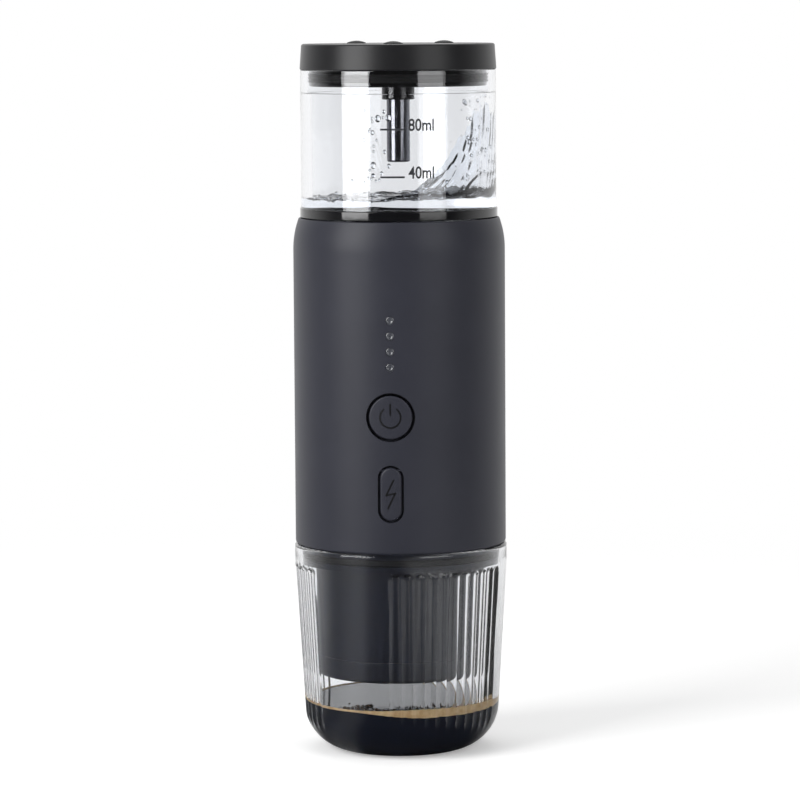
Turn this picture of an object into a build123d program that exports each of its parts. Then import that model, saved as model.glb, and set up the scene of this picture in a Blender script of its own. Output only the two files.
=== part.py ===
from build123d import *
import math
import os

# A portable espresso maker that stands on its own cup.
# The origin is on the table at the axis, Z points up and the controls face -Y. Sizes are in millimetres.

# Fits
turn_gap = 0.3
seat_gap = 0.05
slip_gap = 0.1
run_gap = 0.05
shaft_gap = 0.01
cut_over = 1.0

# Cup
cup_height = 70.0
cup_wall = 2.3
cup_floor = 3.0
cup_taper = 3.7
cup_base_curve = 15.0
cup_rim_band = 5.5
cup_rim_round = 0.5
cup_foot_width = 3.0
cup_recess_depth = 0.8
flute_groups = 3
flutes_per_group = 11
flute_pitch_angle = 6.6
flute_group_angle = -55.0
flute_radius = 3.2
flute_depth = 0.9

# Body shell
body_height = 109.2
body_wall = 2.2
body_edge_round = 1.0
shoulder_height = 10.4
shoulder_inset = 1.9

# Group housing under the body
spigot_length = 6.2
spigot_wall = 2.7
group_plate = 4.0
shower_seat = 0.8
shower_recess_depth = 2.0
shower_boss_radius = 3.5
grip_ring_width = 2.4
grip_ring_depth = 1.1
grip_ring_proud = 0.15
grip_ring_round = 0.575
group_gasket_thickness = 1.6
group_gasket_lip = 2.2
group_gasket_inset = 0.8
shower_thickness = 0.8
shower_gap = 0.6
shower_hole_radius = 0.6
shower_hole_rings = 3
shower_hole_pitch = 5.6
shower_screw_radius = 1.4
shower_screw_length = 3.0
shower_screw_head_radius = 3.0
shower_screw_head = 1.2
shower_screw_chamfer = 0.4

# Brew head
head_wall = 2.2
head_drop = 44.0
head_edge_round = 1.5
nozzle_cap_height = 7.0
nozzle_neck = 5.0
nozzle_recess_radius = 9.0
nozzle_recess_depth = 3.0
spout_radius = 3.6
spout_bore = 2.0
spout_lift = 0.6
basket_wall = 0.6
basket_flange = 0.8
basket_depth = 22.0
basket_curve = 2.4
basket_ledge = 1.6
basket_ledge_height = 3.0
basket_hole_radius = 0.6
basket_hole_rings = 3
basket_hole_pitch = 5.6

# Bayonets of the brew head and the tank
lug_count = 3
lug_width_angle = 24.0
lug_slack_angle = 2.0
lug_height = 2.2
lug_reach = 1.7
lug_drop = 0.25
bayonet_turn_angle = 45.0
head_lug_angle = 30.0
tank_lug_angle = 90.0

# Water tank
tank_inset = 2.8
tank_wall = 3.6
tank_height = 49.3
tank_mouth_wall = 2.4
tank_mouth_depth = 7.7
tank_floor = 2.5
tank_floor_round = 0.6
tank_lift = 0.2
tank_collar_height = 3.2
tank_collar_proud = 0.4
tank_collar_wall = 1.9
tank_collar_round = 0.4
tank_neck_wall = 2.4
tank_neck_length = 7.4
tank_sump_depth = 5.4
tank_outlet_radius = 4.0
strainer_radius = 6.0
strainer_thickness = 0.8
strainer_hole_radius = 0.5
strainer_hole_rings = 2
strainer_hole_pitch = 1.6
tank_gasket_thickness = 1.2

# Top deck
deck_recess = 0.3
deck_side_gap = 0.2
deck_flange = 1.4
deck_sump_depth = 1.5
deck_floor = 2.2
deck_screw_wall = 0.45

# Lid
lid_height = 8.5
lid_proud = 0.2
lid_taper = 0.6
lid_top_wall = 2.0
lid_edge_round = 0.8
lid_rim_round = 0.3
plug_depth = 5.5
plug_gap = 0.6
plug_floor = 2.4
plug_wall = 1.9
plug_neck_inset = 1.7
plug_neck_height = 6.0
seal_width = 2.8
seal_depth = 1.0
seal_proud = 0.45
seal_lips = 3
seal_lip_depth = 0.35
breather_boss_radius = 5.5
breather_boss_length = 4.6
breather_boss_round = 0.5
breather_radius = 3.9
breather_wall = 0.9
breather_length = 20.7
breather_socket = 3.6
breather_end_round = 0.6
vent_radius = 1.0
foot_radius = 3.2
foot_height = 0.9
foot_pocket = 0.8
foot_round = 0.7
foot_inset = 15.2
foot_count = 3

# Controls on the front
led_count = 4
led_height = 61.9
led_pitch = 5.13
led_radius = 1.4
led_bar_width = 3.0
led_bar_thickness = 1.5
led_chip_size = 2.0
led_chip_height = 0.8
button_height = 45.5
button_radius = 7.15
button_groove = 0.9
button_edge_round = 0.5
button_flange_reach = 2.4
button_flange = 1.4
button_well_wall = 1.5
button_well_depth = 2.6
button_stem_radius = 2.2
button_stem = 0.8
button_travel = 0.8
switch_size = 6.0
switch_height = 3.4
switch_plunger_radius = 1.65
switch_plunger_out = 1.0
switch_plunger_in = 0.9

# Charging port
port_height = 20.2
port_pocket_width = 8.6
port_pocket_length = 19.0
port_pocket_depth = 2.2
port_pocket_floor = 2.2
port_boss_wall = 1.8
port_cover_gap = 0.7
port_cover_thickness = 2.0
port_cover_round = 0.8
port_cover_back_round = 0.6
port_hinge_inset = 0.95
port_hinge_depth = 1.05
port_pin_radius = 0.4
port_pin_bite = 0.6
port_plug_width = 1.7
port_plug_length = 6.4
port_plug_depth = 1.0
socket_width = 3.26
socket_length = 8.94
socket_wall = 0.31
socket_back = 1.2
socket_setback = 0.3
socket_tongue_width = 0.7
socket_tongue_length = 6.69
socket_tongue_setback = 1.2

# Chassis and what it carries
chassis_gap = 1.2
chassis_disc = 2.4
chassis_front_flat = 9.4
chassis_wall = 1.8
chassis_wall_spare = 3.7
arm_width = 1.8
arm_height = 5.0
arm_lower_height = 40.0
arm_upper_height = 78.0
arm_boss_radius = 2.3
arm_boss_length = 6.0
cell_radius = 9.2
cell_length = 65.0
cell_gap = 0.6
cell_button_radius = 2.8
cell_button_height = 0.9
cell_shelf = 2.0
motor_radius = 10.0
motor_length = 28.0
motor_cap = 4.0
motor_boss_radius = 3.4
motor_boss = 2.0
motor_bore_depth = 14.0
motor_gap = 0.5
motor_shelf = 2.4
board_edge = 2.1
board_thickness = 1.6
board_margin = 8.0
board_gap = 4.785

# Gear pump and hoses
pump_lift = 16.0
pump_floor = 2.5
pump_cover_thickness = 2.5
pump_wall = 1.8
pump_ear_radius = 2.4
gear_module = 0.6
gear_teeth = 12
gear_width = 6.0
gear_pressure_angle = 20.0
gear_addendum = 0.9
gear_dedendum = 1.15
gear_backlash = 0.08
gear_tip_gap = 0.1
flank_steps = 4
shaft_radius = 1.5
shaft_seal_radius = 3.2
shaft_seal_thickness = 1.5
hose_straight = 0.46
hose_wall = 1.0
hose_bend = 7.5
nipple_radius = 2.2
nipple_bore = 1.3
nipple_length = 8.0
pump_nipple_length = 6.0

# Screws
screw_radius = 0.9
screw_head_radius = 1.7
screw_head = 1.3
screw_bite = 2.6
deck_screw_count = 3
deck_screw_angle = 30.0
chassis_screw_count = 3
chassis_screw_angle = 90.0
chassis_screw_inset = 3.2

# Heights up the stack
rim_z = cup_height
body_top_z = rim_z + body_height
shoulder_z = body_top_z - shoulder_height
plate_z = rim_z + group_plate
tank_base_z = body_top_z + tank_lift
tank_floor_z = tank_base_z + tank_floor
collar_top_z = tank_base_z + tank_collar_height
tank_top_z = body_top_z + tank_height
neck_z = tank_base_z - tank_neck_length
lid_top_z = tank_top_z + lid_height
plug_z = tank_top_z - plug_depth
head_z = rim_z - head_drop
head_seam_z = head_z + nozzle_cap_height
head_top_z = rim_z - group_gasket_thickness - seat_gap
deck_seat_z = neck_z - seat_gap - tank_gasket_thickness
deck_under_z = deck_seat_z - deck_sump_depth - deck_floor
button_z = rim_z + button_height
port_z = rim_z + port_height
led_z = [rim_z + led_height + led_pitch * i for i in range(led_count)]

# Depth of the works, from the middle of the cells at the back to the button's flange at the front
gear_radius = gear_module * gear_teeth / 2
gear_tip = gear_radius + gear_addendum * gear_module
pump_chamber = gear_tip + gear_tip_gap
pump_half = pump_chamber + pump_wall
ear_offset = pump_chamber + pump_ear_radius
button_flange_radius = button_radius + button_flange_reach
button_well = button_flange_radius + turn_gap
cell_x = cell_radius + cell_gap
cells_depth = cell_radius + cell_gap + chassis_wall
motor_depth = motor_gap + motor_radius
pump_depth = 2 * gear_radius + ear_offset + pump_ear_radius
button_depth = switch_height + switch_plunger_out + button_stem + button_flange + turn_gap
works_depth = cells_depth + motor_depth + pump_depth + board_gap + board_thickness + button_depth

# The shell's bore is the circle that holds both cells and the button's well at that depth
cell_margin = chassis_gap + cell_gap + cell_radius
bore_slope = cell_margin / works_depth
bore_base = (works_depth ** 2 + cell_x ** 2 - button_well ** 2 - cell_margin ** 2) / (2 * works_depth)
bore_middle = bore_slope * bore_base
bore_spread = math.sqrt(bore_middle ** 2 + (1 - bore_slope ** 2) * (bore_base ** 2 + button_well ** 2))
shell_inner = (bore_middle + bore_spread) / (1 - bore_slope ** 2)

# Radii from the axis
body_radius = shell_inner + body_wall
spigot_radius = shell_inner - slip_gap
head_radius = spigot_radius - spigot_wall - turn_gap - lug_reach
head_inner = head_radius - head_wall
group_gasket_outer = head_radius - group_gasket_inset
group_gasket_inner = head_inner - group_gasket_lip
shower_radius = group_gasket_inner - shower_gap
shower_recess_radius = shower_radius - shower_seat
cup_mouth = spigot_radius + turn_gap
cup_rim = cup_mouth + cup_wall
cup_base_radius = cup_rim - cup_taper
cup_recess_radius = cup_base_radius - cup_base_curve - cup_foot_width
chassis_radius = shell_inner - chassis_gap
deck_radius = body_radius - shoulder_inset - body_wall - deck_side_gap
deck_screw_circle = deck_radius - screw_head_radius - slip_gap - run_gap
deck_track_radius = deck_screw_circle - screw_head_radius - slip_gap - deck_screw_wall
tank_neck_radius = deck_track_radius - turn_gap - lug_reach
tank_radius = body_radius - tank_inset
tank_inner = tank_radius - tank_wall
tank_mouth = tank_radius - tank_mouth_wall
tank_collar_radius = tank_radius + tank_collar_proud
plug_radius = tank_mouth - plug_gap
lid_bottom_radius = tank_radius + lid_proud
lid_top_radius = lid_bottom_radius - lid_taper
foot_reach = lid_top_radius - foot_inset

# Places inside the body
cell_y = math.sqrt((shell_inner - cell_margin) ** 2 - cell_x ** 2)
wall_back_y = cell_y - cell_radius - cell_gap
wall_front_y = wall_back_y - chassis_wall
drive_y = wall_front_y - motor_gap - motor_radius
idler_y = drive_y - 2 * gear_radius
hose_y = (drive_y + idler_y) / 2
hose_offset = pump_half + pump_nipple_length + hose_bend + hose_straight
foot_top_z = plate_z + chassis_disc
pump_z = foot_top_z + pump_lift
pump_cover_z = pump_z + pump_floor + gear_width + 2 * run_gap
shelf_z = pump_cover_z + pump_cover_thickness
motor_z = shelf_z + motor_shelf
pump_port_z = pump_z + pump_floor + run_gap + gear_width / 2
hose_inner = nipple_radius + run_gap
hose_outer = hose_inner + hose_wall
screw_hole = screw_radius + slip_gap
chassis_screw_circle = chassis_radius - chassis_screw_inset
shelf_half = motor_radius + motor_gap + arm_width
board_screw_x = motor_radius + motor_gap + arm_width / 2
board_width = 2 * (board_screw_x + board_edge)
chassis_wall_half = shelf_half + chassis_wall_spare

# Places on the front, as distances along Y
button_flange_y = turn_gap - math.sqrt(shell_inner ** 2 - button_well ** 2)
button_back_y = button_flange_y + button_flange
plunger_y = button_back_y + button_stem
switch_y = plunger_y + switch_plunger_out
board_y = switch_y + switch_height
board_back_y = board_y + board_thickness
pocket_y = port_pocket_depth - body_radius
port_boss_y = pocket_y + port_pocket_floor
socket_y = pocket_y + socket_setback
cover_width = port_pocket_width - 2 * port_cover_gap
cover_length = port_pocket_length - 2 * port_cover_gap
cover_top_z = port_z + cover_length / 2
hinge_y = port_hinge_depth - body_radius
hinge_z = cover_top_z - port_hinge_inset
pocket_end = port_pocket_width / 2
pocket_end_z = port_z + port_pocket_length / 2 - pocket_end
pin_end = math.sqrt(pocket_end ** 2 - (hinge_z - pocket_end_z) ** 2) + port_pin_bite


def corner_round(profile, corner, radius):
    """The flat profile with its vertex nearest to the corner rounded."""
    return fillet(profile.vertices().sort_by_distance((corner[0], corner[1], 0))[:1], radius)


def turned(points, rounds=()):
    """A solid of revolution about Z from (radius, height) points, with some corners rounded."""
    profile = make_face(Polyline(*points, close=True))
    for index, radius in rounds:
        profile = corner_round(profile, points[index], radius)
    return revolve(Plane.XZ * profile, Axis.Z)


def tube(outer, inner, low, high):
    """A plain ring about Z."""
    return turned([(inner, low), (outer, low), (outer, high), (inner, high)])


def rod(radius, low, high, x=0.0, y=0.0):
    """A plain round bar along Z."""
    return extrude(Pos(x, y, low) * Circle(radius), high - low)


def sector(inner, outer, low, high, start, span):
    """A part of a ring about Z, from the start angle through the span in degrees."""
    outline = Pos((inner + outer) / 2, (low + high) / 2) * Rectangle(outer - inner, high - low)
    return Rot(0, 0, start) * revolve(Plane.XZ * outline, Axis.Z, span)


def block(x, y, z):
    """A box from its two limits along each axis."""
    middle = Pos(sum(x) / 2, sum(y) / 2, sum(z) / 2)
    return middle * Box(x[1] - x[0], y[1] - y[0], z[1] - z[0])


def front(sketch, y_back, y_front, z, x=0.0):
    """A sketch on the front, pushed out along -Y from one depth to another."""
    plane = Plane((x, y_back, z), x_dir=(1, 0, 0), z_dir=(0, -1, 0))
    return extrude(plane * sketch, y_back - y_front)


def crossbar(radius, half, y, z):
    """A plain round bar along X, centred on the axis plane."""
    return Pos(0, y, z) * Rot(0, 90, 0) * Cylinder(radius, 2 * half)


def stadium(width, length):
    """An upright oblong with round ends."""
    return Rot(0, 0, 90) * SlotOverall(length, width)


def hole_pattern(radius, rings, pitch, low, high):
    """Upright holes on rings of six, twelve, eighteen and so on."""
    holes = []
    for ring in range(1, rings + 1):
        for i in range(6 * ring):
            angle = math.radians(60 * i / ring)
            reach = pitch * ring
            holes.append(rod(radius, low, high, reach * math.cos(angle), reach * math.sin(angle)))
    return holes


def around(count, start):
    """Even angles about the axis."""
    return [start + 360 / count * i for i in range(count)]


def polar(radius, angle):
    """A point in plan from its radius and angle."""
    return radius * math.cos(math.radians(angle)), radius * math.sin(math.radians(angle))


def screw(x, y, head_low, tip):
    """A pan-head screw along Z, with its tip under its head or over it."""
    toward_tip = math.copysign(1, tip - head_low)
    head = rod(screw_head_radius, *sorted((head_low, head_low - toward_tip * screw_head)), x, y)
    shank = rod(screw_radius, *sorted((head_low, tip)), x, y)
    return head + shank


def lugs(inner, outer, low, angle):
    """The bayonet's lugs on a turned neck."""
    start = angle - lug_width_angle / 2
    return [sector(inner, outer, low, low + lug_height, a, lug_width_angle) for a in around(lug_count, start)]


def lug_tracks(inner, outer, low, mouth, angle, turn):
    """The tracks that the lugs turn in, with their entries from the mouth."""
    width = lug_width_angle + 2 * lug_slack_angle
    bottom, top = low - turn_gap, low + lug_height + turn_gap
    entry = sorted((mouth, top if mouth < low else bottom))
    cuts = []
    for a in around(lug_count, angle - width / 2):
        cuts.append(sector(inner, outer, bottom, top, a + min(turn, 0), width + abs(turn)))
        cuts.append(sector(inner, outer, *entry, a + turn, width))
    return cuts


def drinking_cup():
    band_z = cup_height - cup_rim_band
    slope = (cup_rim - cup_base_radius) / band_z
    floor_radius = cup_base_radius + slope * cup_floor - cup_wall
    outside = [(0, 0), (cup_base_radius, 0), (cup_rim, band_z), (cup_rim, cup_height), (0, cup_height)]
    inside = [(0, cup_floor), (floor_radius, cup_floor), (cup_mouth, band_z), (cup_mouth, cup_height + cut_over),
              (0, cup_height + cut_over)]
    cup = turned(outside, [(1, cup_base_curve)]) - turned(inside, [(1, cup_base_curve - cup_wall)])
    cup = fillet(cup.edges().group_by(Axis.Z)[-1], cup_rim_round)
    cup -= rod(cup_recess_radius, 0, cup_recess_depth)
    return cup - flute_cutters(band_z, slope)


def flute_cutters(band_z, slope):
    lean = math.atan(slope)
    stand_off = flute_radius - flute_depth
    top_z = band_z - flute_radius
    top_r = cup_base_radius + slope * top_z + stand_off * math.cos(lean)
    length = top_z / math.cos(lean)
    place = Pos(top_r, 0, top_z) * Rot(0, math.degrees(lean), 0)
    cutter = place * (Pos(0, 0, -length / 2) * Cylinder(flute_radius, length) + Sphere(flute_radius))
    first = flute_group_angle - flute_pitch_angle * (flutes_per_group - 1) / 2
    return [
        Rot(0, 0, group + flute_pitch_angle * i) * cutter
        for group in around(flute_groups, first)
        for i in range(flutes_per_group)
    ]


def shell_solid(radius, top_radius, low, high):
    """A round body whose shoulder curves in to its top radius."""
    inset = radius - top_radius
    curve = (inset ** 2 + (high - shoulder_z) ** 2) / (2 * inset)
    angle = math.asin((high - shoulder_z) / curve) / 2
    middle = (radius - curve * (1 - math.cos(angle)), shoulder_z + curve * math.sin(angle))
    outline = [
        Line((0, low), (radius, low)),
        Line((radius, low), (radius, shoulder_z)),
        ThreePointArc((radius, shoulder_z), middle, (top_radius, high)),
        Line((top_radius, high), (0, high)),
        Line((0, high), (0, low)),
    ]
    return revolve(Plane.XZ * make_face(outline), Axis.Z)


def body_shell():
    top_radius = body_radius - shoulder_inset
    outside = shell_solid(body_radius, top_radius, rim_z, body_top_z)
    outside = fillet(outside.edges().group_by(Axis.Z)[0], body_edge_round)
    core = shell_solid(shell_inner, top_radius - body_wall, rim_z, body_top_z)
    boss = stadium(port_pocket_width + 2 * port_boss_wall, port_pocket_length + 2 * port_boss_wall)
    well_y = button_flange_y + button_well_depth
    bosses = front(boss, port_boss_y, -body_radius, port_z)
    bosses += front(Circle(button_well + button_well_wall), well_y, -body_radius, button_z)
    shell = outside - core + (bosses & core)
    shell -= front(Circle(button_well), well_y, button_flange_y - turn_gap, button_z)
    shell -= front(Circle(button_radius + button_groove), well_y, -body_radius, button_z)
    shell -= front(stadium(port_pocket_width, port_pocket_length), pocket_y, -body_radius, port_z)
    window = stadium(socket_width + 2 * slip_gap, socket_length + 2 * slip_gap)
    shell -= front(window, port_boss_y, pocket_y, port_z)
    shell -= crossbar(port_pin_radius + slip_gap, pin_end + slip_gap, hinge_y, hinge_z)
    for z in led_z:
        shell -= front(Circle(led_radius + run_gap), 0, -body_radius, z) - core
    return shell


def group_housing():
    spigot_z = rim_z - spigot_length
    lug_z = head_top_z - lug_drop - lug_height
    lug_radius = head_radius + lug_reach + turn_gap
    housing = rod(spigot_radius, spigot_z, plate_z)
    housing -= rod(head_radius + turn_gap, spigot_z, rim_z)
    housing -= lug_tracks(head_inner, lug_radius, lug_z, spigot_z, head_lug_angle, -bayonet_turn_angle)
    housing -= tube(shower_recess_radius, shower_boss_radius, rim_z, rim_z + shower_recess_depth)
    housing -= rod(shower_screw_radius + run_gap, rim_z, rim_z + shower_screw_length)
    ring_z = grip_ring_z()
    housing -= tube(spigot_radius + cut_over, spigot_radius - grip_ring_depth, ring_z, ring_z + grip_ring_width)
    housing += rod(nipple_radius, plate_z, plate_z + nipple_length, -hose_offset, hose_y)
    housing -= rod(nipple_bore, rim_z, plate_z + nipple_length, -hose_offset, hose_y)
    for angle in around(chassis_screw_count, chassis_screw_angle):
        housing -= rod(screw_hole, plate_z - screw_bite, plate_z, *polar(chassis_screw_circle, angle))
    return housing


def grip_ring_z():
    return rim_z - (spigot_length + grip_ring_width) / 2


def cup_grip_ring():
    low = grip_ring_z() + run_gap
    high = low + grip_ring_width - 2 * run_gap
    inner = spigot_radius - grip_ring_depth + run_gap
    outer = spigot_radius + grip_ring_proud
    points = [(inner, low), (outer, low), (outer, high), (inner, high)]
    return turned(points, [(1, grip_ring_round), (2, grip_ring_round)])


def group_gasket():
    return tube(group_gasket_outer, group_gasket_inner, rim_z - group_gasket_thickness, rim_z)


def shower_screen():
    low = rim_z - shower_thickness
    screen = tube(shower_radius, shower_screw_radius + run_gap, low, rim_z)
    return screen - hole_pattern(shower_hole_radius, shower_hole_rings, shower_hole_pitch, low, rim_z)


def shower_screw():
    seat = rim_z - shower_thickness
    head = rod(shower_screw_head_radius, seat - shower_screw_head, seat)
    head = chamfer(head.edges().group_by(Axis.Z)[0], shower_screw_chamfer)
    return head + rod(shower_screw_radius, seat, rim_z + shower_screw_length - run_gap)


def brew_head_shell():
    lug_z = head_top_z - lug_drop - lug_height
    ledge_z = head_top_z - basket_flange
    shell = tube(head_radius, head_inner, head_seam_z, head_top_z)
    shell += tube(head_inner, head_inner - basket_ledge, ledge_z - basket_ledge_height, ledge_z)
    return shell + lugs(head_inner, head_radius + lug_reach, lug_z, head_lug_angle)


def filter_basket():
    wall_outer = head_inner - basket_ledge - slip_gap
    flange_radius = head_inner - slip_gap
    low = head_top_z - basket_depth
    outside = turned([(0, low), (wall_outer, low), (wall_outer, head_top_z), (0, head_top_z)], [(1, basket_curve)])
    inner = wall_outer - basket_wall
    floor_z = low + basket_wall
    inside = turned([(0, floor_z), (inner, floor_z), (inner, head_top_z), (0, head_top_z)],
                    [(1, basket_curve - basket_wall)])
    basket = outside + rod(flange_radius, head_top_z - basket_flange, head_top_z) - inside
    return basket - hole_pattern(basket_hole_radius, basket_hole_rings, basket_hole_pitch, low, floor_z)


def nozzle_cap():
    neck_top_z = head_seam_z + nozzle_neck
    neck_outer = head_inner - slip_gap
    neck_inner = neck_outer - head_wall
    throat_z = head_z + nozzle_recess_depth + spout_bore
    outside = [(0, head_z), (head_radius, head_z), (head_radius, head_seam_z), (neck_outer, head_seam_z),
               (neck_outer, neck_top_z), (0, neck_top_z)]
    funnel = [(0, throat_z), (spout_bore, throat_z), (neck_inner, head_seam_z), (neck_inner, neck_top_z),
              (0, neck_top_z)]
    cap = turned(outside, [(1, head_edge_round)]) - turned(funnel)
    cap -= tube(nozzle_recess_radius, spout_radius, head_z, head_z + nozzle_recess_depth)
    cap -= rod(spout_radius, head_z, head_z + spout_lift)
    return cap - rod(spout_bore, head_z, throat_z)


def water_tank():
    mouth_z = tank_top_z - tank_mouth_depth
    return turned([(tank_inner, collar_top_z), (tank_radius, collar_top_z), (tank_radius, tank_top_z),
                   (tank_mouth, tank_top_z), (tank_mouth, mouth_z), (tank_inner, mouth_z)])


def tank_base():
    sump_radius = tank_neck_radius - tank_neck_wall
    base_radius = tank_collar_radius - tank_collar_wall - run_gap
    sump_z = tank_floor_z - tank_sump_depth
    outside = [(0, neck_z), (tank_neck_radius, neck_z), (tank_neck_radius, tank_base_z),
               (base_radius, tank_base_z), (base_radius, collar_top_z), (0, collar_top_z)]
    inside = [(0, sump_z), (sump_radius, sump_z), (sump_radius, tank_floor_z), (tank_inner, tank_floor_z),
              (tank_inner, collar_top_z), (0, collar_top_z)]
    base = turned(outside) - turned(inside, [(3, tank_floor_round)])
    base -= rod(sump_radius, neck_z, sump_z - tank_floor)
    base -= rod(tank_outlet_radius, neck_z, sump_z)
    return base + lugs(sump_radius, tank_neck_radius + lug_reach, neck_z, tank_lug_angle)


def tank_collar():
    inner = tank_collar_radius - tank_collar_wall
    points = [(inner, tank_base_z), (tank_collar_radius, tank_base_z), (tank_collar_radius, collar_top_z),
              (inner, collar_top_z)]
    return turned(points, [(1, tank_collar_round), (2, tank_collar_round)])


def tank_strainer():
    low = tank_floor_z - tank_sump_depth
    disc = rod(strainer_radius, low, low + strainer_thickness)
    spigot = tube(tank_outlet_radius - slip_gap, tank_outlet_radius - slip_gap - strainer_thickness,
                  low - tank_floor, low)
    holes = hole_pattern(strainer_hole_radius, strainer_hole_rings, strainer_hole_pitch, low - slip_gap,
                         low + strainer_thickness)
    return disc - holes + spigot - [rod(strainer_hole_radius, low, low + strainer_thickness)]


def tank_gasket():
    inner = tank_neck_radius - tank_neck_wall
    return tube(tank_neck_radius, inner, deck_seat_z, deck_seat_z + tank_gasket_thickness)


def top_deck():
    top = body_top_z - deck_recess
    sump_radius = tank_neck_radius - tank_neck_wall - turn_gap
    flange_radius = shell_inner - deck_side_gap
    deck = rod(deck_radius, deck_under_z, top)
    deck += rod(flange_radius, deck_under_z, deck_under_z + deck_flange)
    deck -= rod(tank_neck_radius + turn_gap, deck_seat_z, top)
    deck -= rod(sump_radius, deck_seat_z - deck_sump_depth, deck_seat_z)
    deck -= lug_tracks(tank_neck_radius, deck_track_radius, neck_z, top, tank_lug_angle, bayonet_turn_angle)
    deck += rod(nipple_radius, deck_under_z - nipple_length, deck_under_z, hose_offset, hose_y)
    deck -= rod(nipple_bore, deck_under_z - nipple_length, deck_seat_z, hose_offset, hose_y)
    for angle in around(deck_screw_count, deck_screw_angle):
        x, y = polar(deck_screw_circle, angle)
        deck -= rod(screw_hole, deck_under_z, top, x, y)
        deck -= rod(screw_head_radius + slip_gap, top - screw_head - slip_gap, top, x, y)
    return deck


def deck_screws():
    seat = body_top_z - deck_recess - screw_head - slip_gap
    places = [polar(deck_screw_circle, angle) for angle in around(deck_screw_count, deck_screw_angle)]
    return Compound([screw(x, y, seat, deck_under_z - screw_bite) for x, y in places])


def lid_cap():
    side = [(0, tank_top_z), (lid_bottom_radius, tank_top_z), (lid_top_radius, lid_top_z), (0, lid_top_z)]
    cap = turned(side, [(1, lid_rim_round), (2, lid_edge_round)])
    neck = plug_radius - plug_neck_inset + slip_gap
    cap -= rod(neck, tank_top_z, lid_top_z - lid_top_wall)
    cap -= rod(vent_radius, tank_top_z, lid_top_z)
    for angle in around(foot_count, -90):
        cap -= rod(foot_radius + run_gap, lid_top_z - foot_pocket, lid_top_z, *polar(foot_reach, angle))
    return cap


def lid_feet():
    low, high = lid_top_z - foot_pocket, lid_top_z + foot_height
    profile = [(0, low), (foot_radius, low), (foot_radius, high), (0, high)]
    foot = turned(profile, [(2, foot_round)])
    return Compound([Pos(*polar(foot_reach, angle), 0) * foot for angle in around(foot_count, -90)])


def lid_plug():
    neck = plug_radius - plug_neck_inset
    neck_top_z = tank_top_z + plug_neck_height
    inner = neck - plug_wall
    plug = rod(plug_radius, plug_z, tank_top_z) + rod(neck, tank_top_z, neck_top_z)
    plug -= rod(inner, plug_z + plug_floor, neck_top_z)
    seal_z = lid_seal_z()
    plug -= tube(plug_radius + cut_over, plug_radius - seal_depth, seal_z, seal_z + seal_width)
    boss_z = plug_z - breather_boss_length
    boss = rod(breather_boss_radius, boss_z, plug_z)
    plug += fillet(boss.edges().group_by(Axis.Z)[0], breather_boss_round)
    plug -= rod(breather_radius + run_gap, boss_z, boss_z + breather_socket)
    return plug - rod(vent_radius, boss_z, plug_z + plug_floor)


def lid_seal_z():
    return plug_z + (plug_depth - seal_width) / 2


def lid_seal():
    low = lid_seal_z() + run_gap
    width = seal_width - 2 * run_gap
    inner = plug_radius - seal_depth + run_gap
    outer = plug_radius + seal_proud
    step = width / (2 * seal_lips - 1)
    seal = tube(outer - seal_lip_depth, inner, low, low + width)
    for lip in range(seal_lips):
        lip_z = low + 2 * step * lip
        seal += tube(outer, outer - seal_lip_depth, lip_z, lip_z + step)
    return seal


def breather_tube():
    top = plug_z - breather_boss_length + breather_socket
    low = plug_z - breather_boss_length - breather_length
    bore = breather_radius - breather_wall
    points = [(bore, low), (breather_radius, low), (breather_radius, top), (bore, top)]
    return turned(points, [(1, breather_end_round)])


def power_button():
    cap = front(Circle(button_radius), button_flange_y, -body_radius, button_z)
    cap &= rod(body_radius, button_z - button_radius, button_z + button_radius)
    cap = fillet(cap.faces().sort_by(Axis.Y)[0].edges(), button_edge_round)
    flange = front(Circle(button_flange_radius), button_back_y, button_flange_y, button_z)
    return cap + flange + front(Circle(button_stem_radius), plunger_y, button_back_y, button_z)


def switch_body():
    body = front(Rectangle(switch_size, switch_size), board_y, switch_y, button_z)
    bore_y = switch_y + switch_plunger_in + button_travel + turn_gap
    return body - front(Circle(switch_plunger_radius + slip_gap), bore_y, switch_y, button_z)


def switch_plunger():
    return front(Circle(switch_plunger_radius), switch_y + switch_plunger_in, plunger_y, button_z)


def light_guide():
    pin_back_y = board_y - led_chip_height - turn_gap
    bar_y = led_bar_thickness + turn_gap - math.sqrt(shell_inner ** 2 - (led_bar_width / 2) ** 2)
    bar_length = led_pitch * (led_count - 1) + led_bar_width
    middle = (led_z[0] + led_z[-1]) / 2
    guide = front(Rectangle(led_bar_width, bar_length), bar_y, bar_y - led_bar_thickness, middle)
    for z in led_z:
        pin = front(Circle(led_radius), pin_back_y, -body_radius, z)
        guide += pin & rod(body_radius, z - led_radius, z + led_radius)
    return guide


def led_chips():
    square = Rectangle(led_chip_size, led_chip_size)
    return Compound([front(square, board_y, board_y - led_chip_height, z) for z in led_z])


def port_cover():
    plate_y = port_cover_thickness - body_radius
    plate = front(stadium(cover_width, cover_length), plate_y, -body_radius, port_z)
    plate &= rod(body_radius, port_z - cover_length, port_z + cover_length)
    plate = fillet(plate.faces().sort_by(Axis.Y)[0].edges(), port_cover_round)
    plate = fillet(plate.faces().sort_by(Axis.Y)[-1].edges(), port_cover_back_round)
    plate += crossbar(port_pin_radius, pin_end, hinge_y, hinge_z)
    return plate + front(stadium(port_plug_width, port_plug_length), plate_y + port_plug_depth, plate_y, port_z)


def usb_socket():
    cavity_y = board_y - socket_back
    tongue_y = socket_y + socket_tongue_setback
    inner_width, inner_length = socket_width - 2 * socket_wall, socket_length - 2 * socket_wall
    can = front(stadium(socket_width, socket_length), board_y, socket_y, port_z)
    can -= front(stadium(inner_width, inner_length), cavity_y, socket_y, port_z)
    return can + front(Rectangle(socket_tongue_width, socket_tongue_length), cavity_y, tongue_y, port_z)


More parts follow.
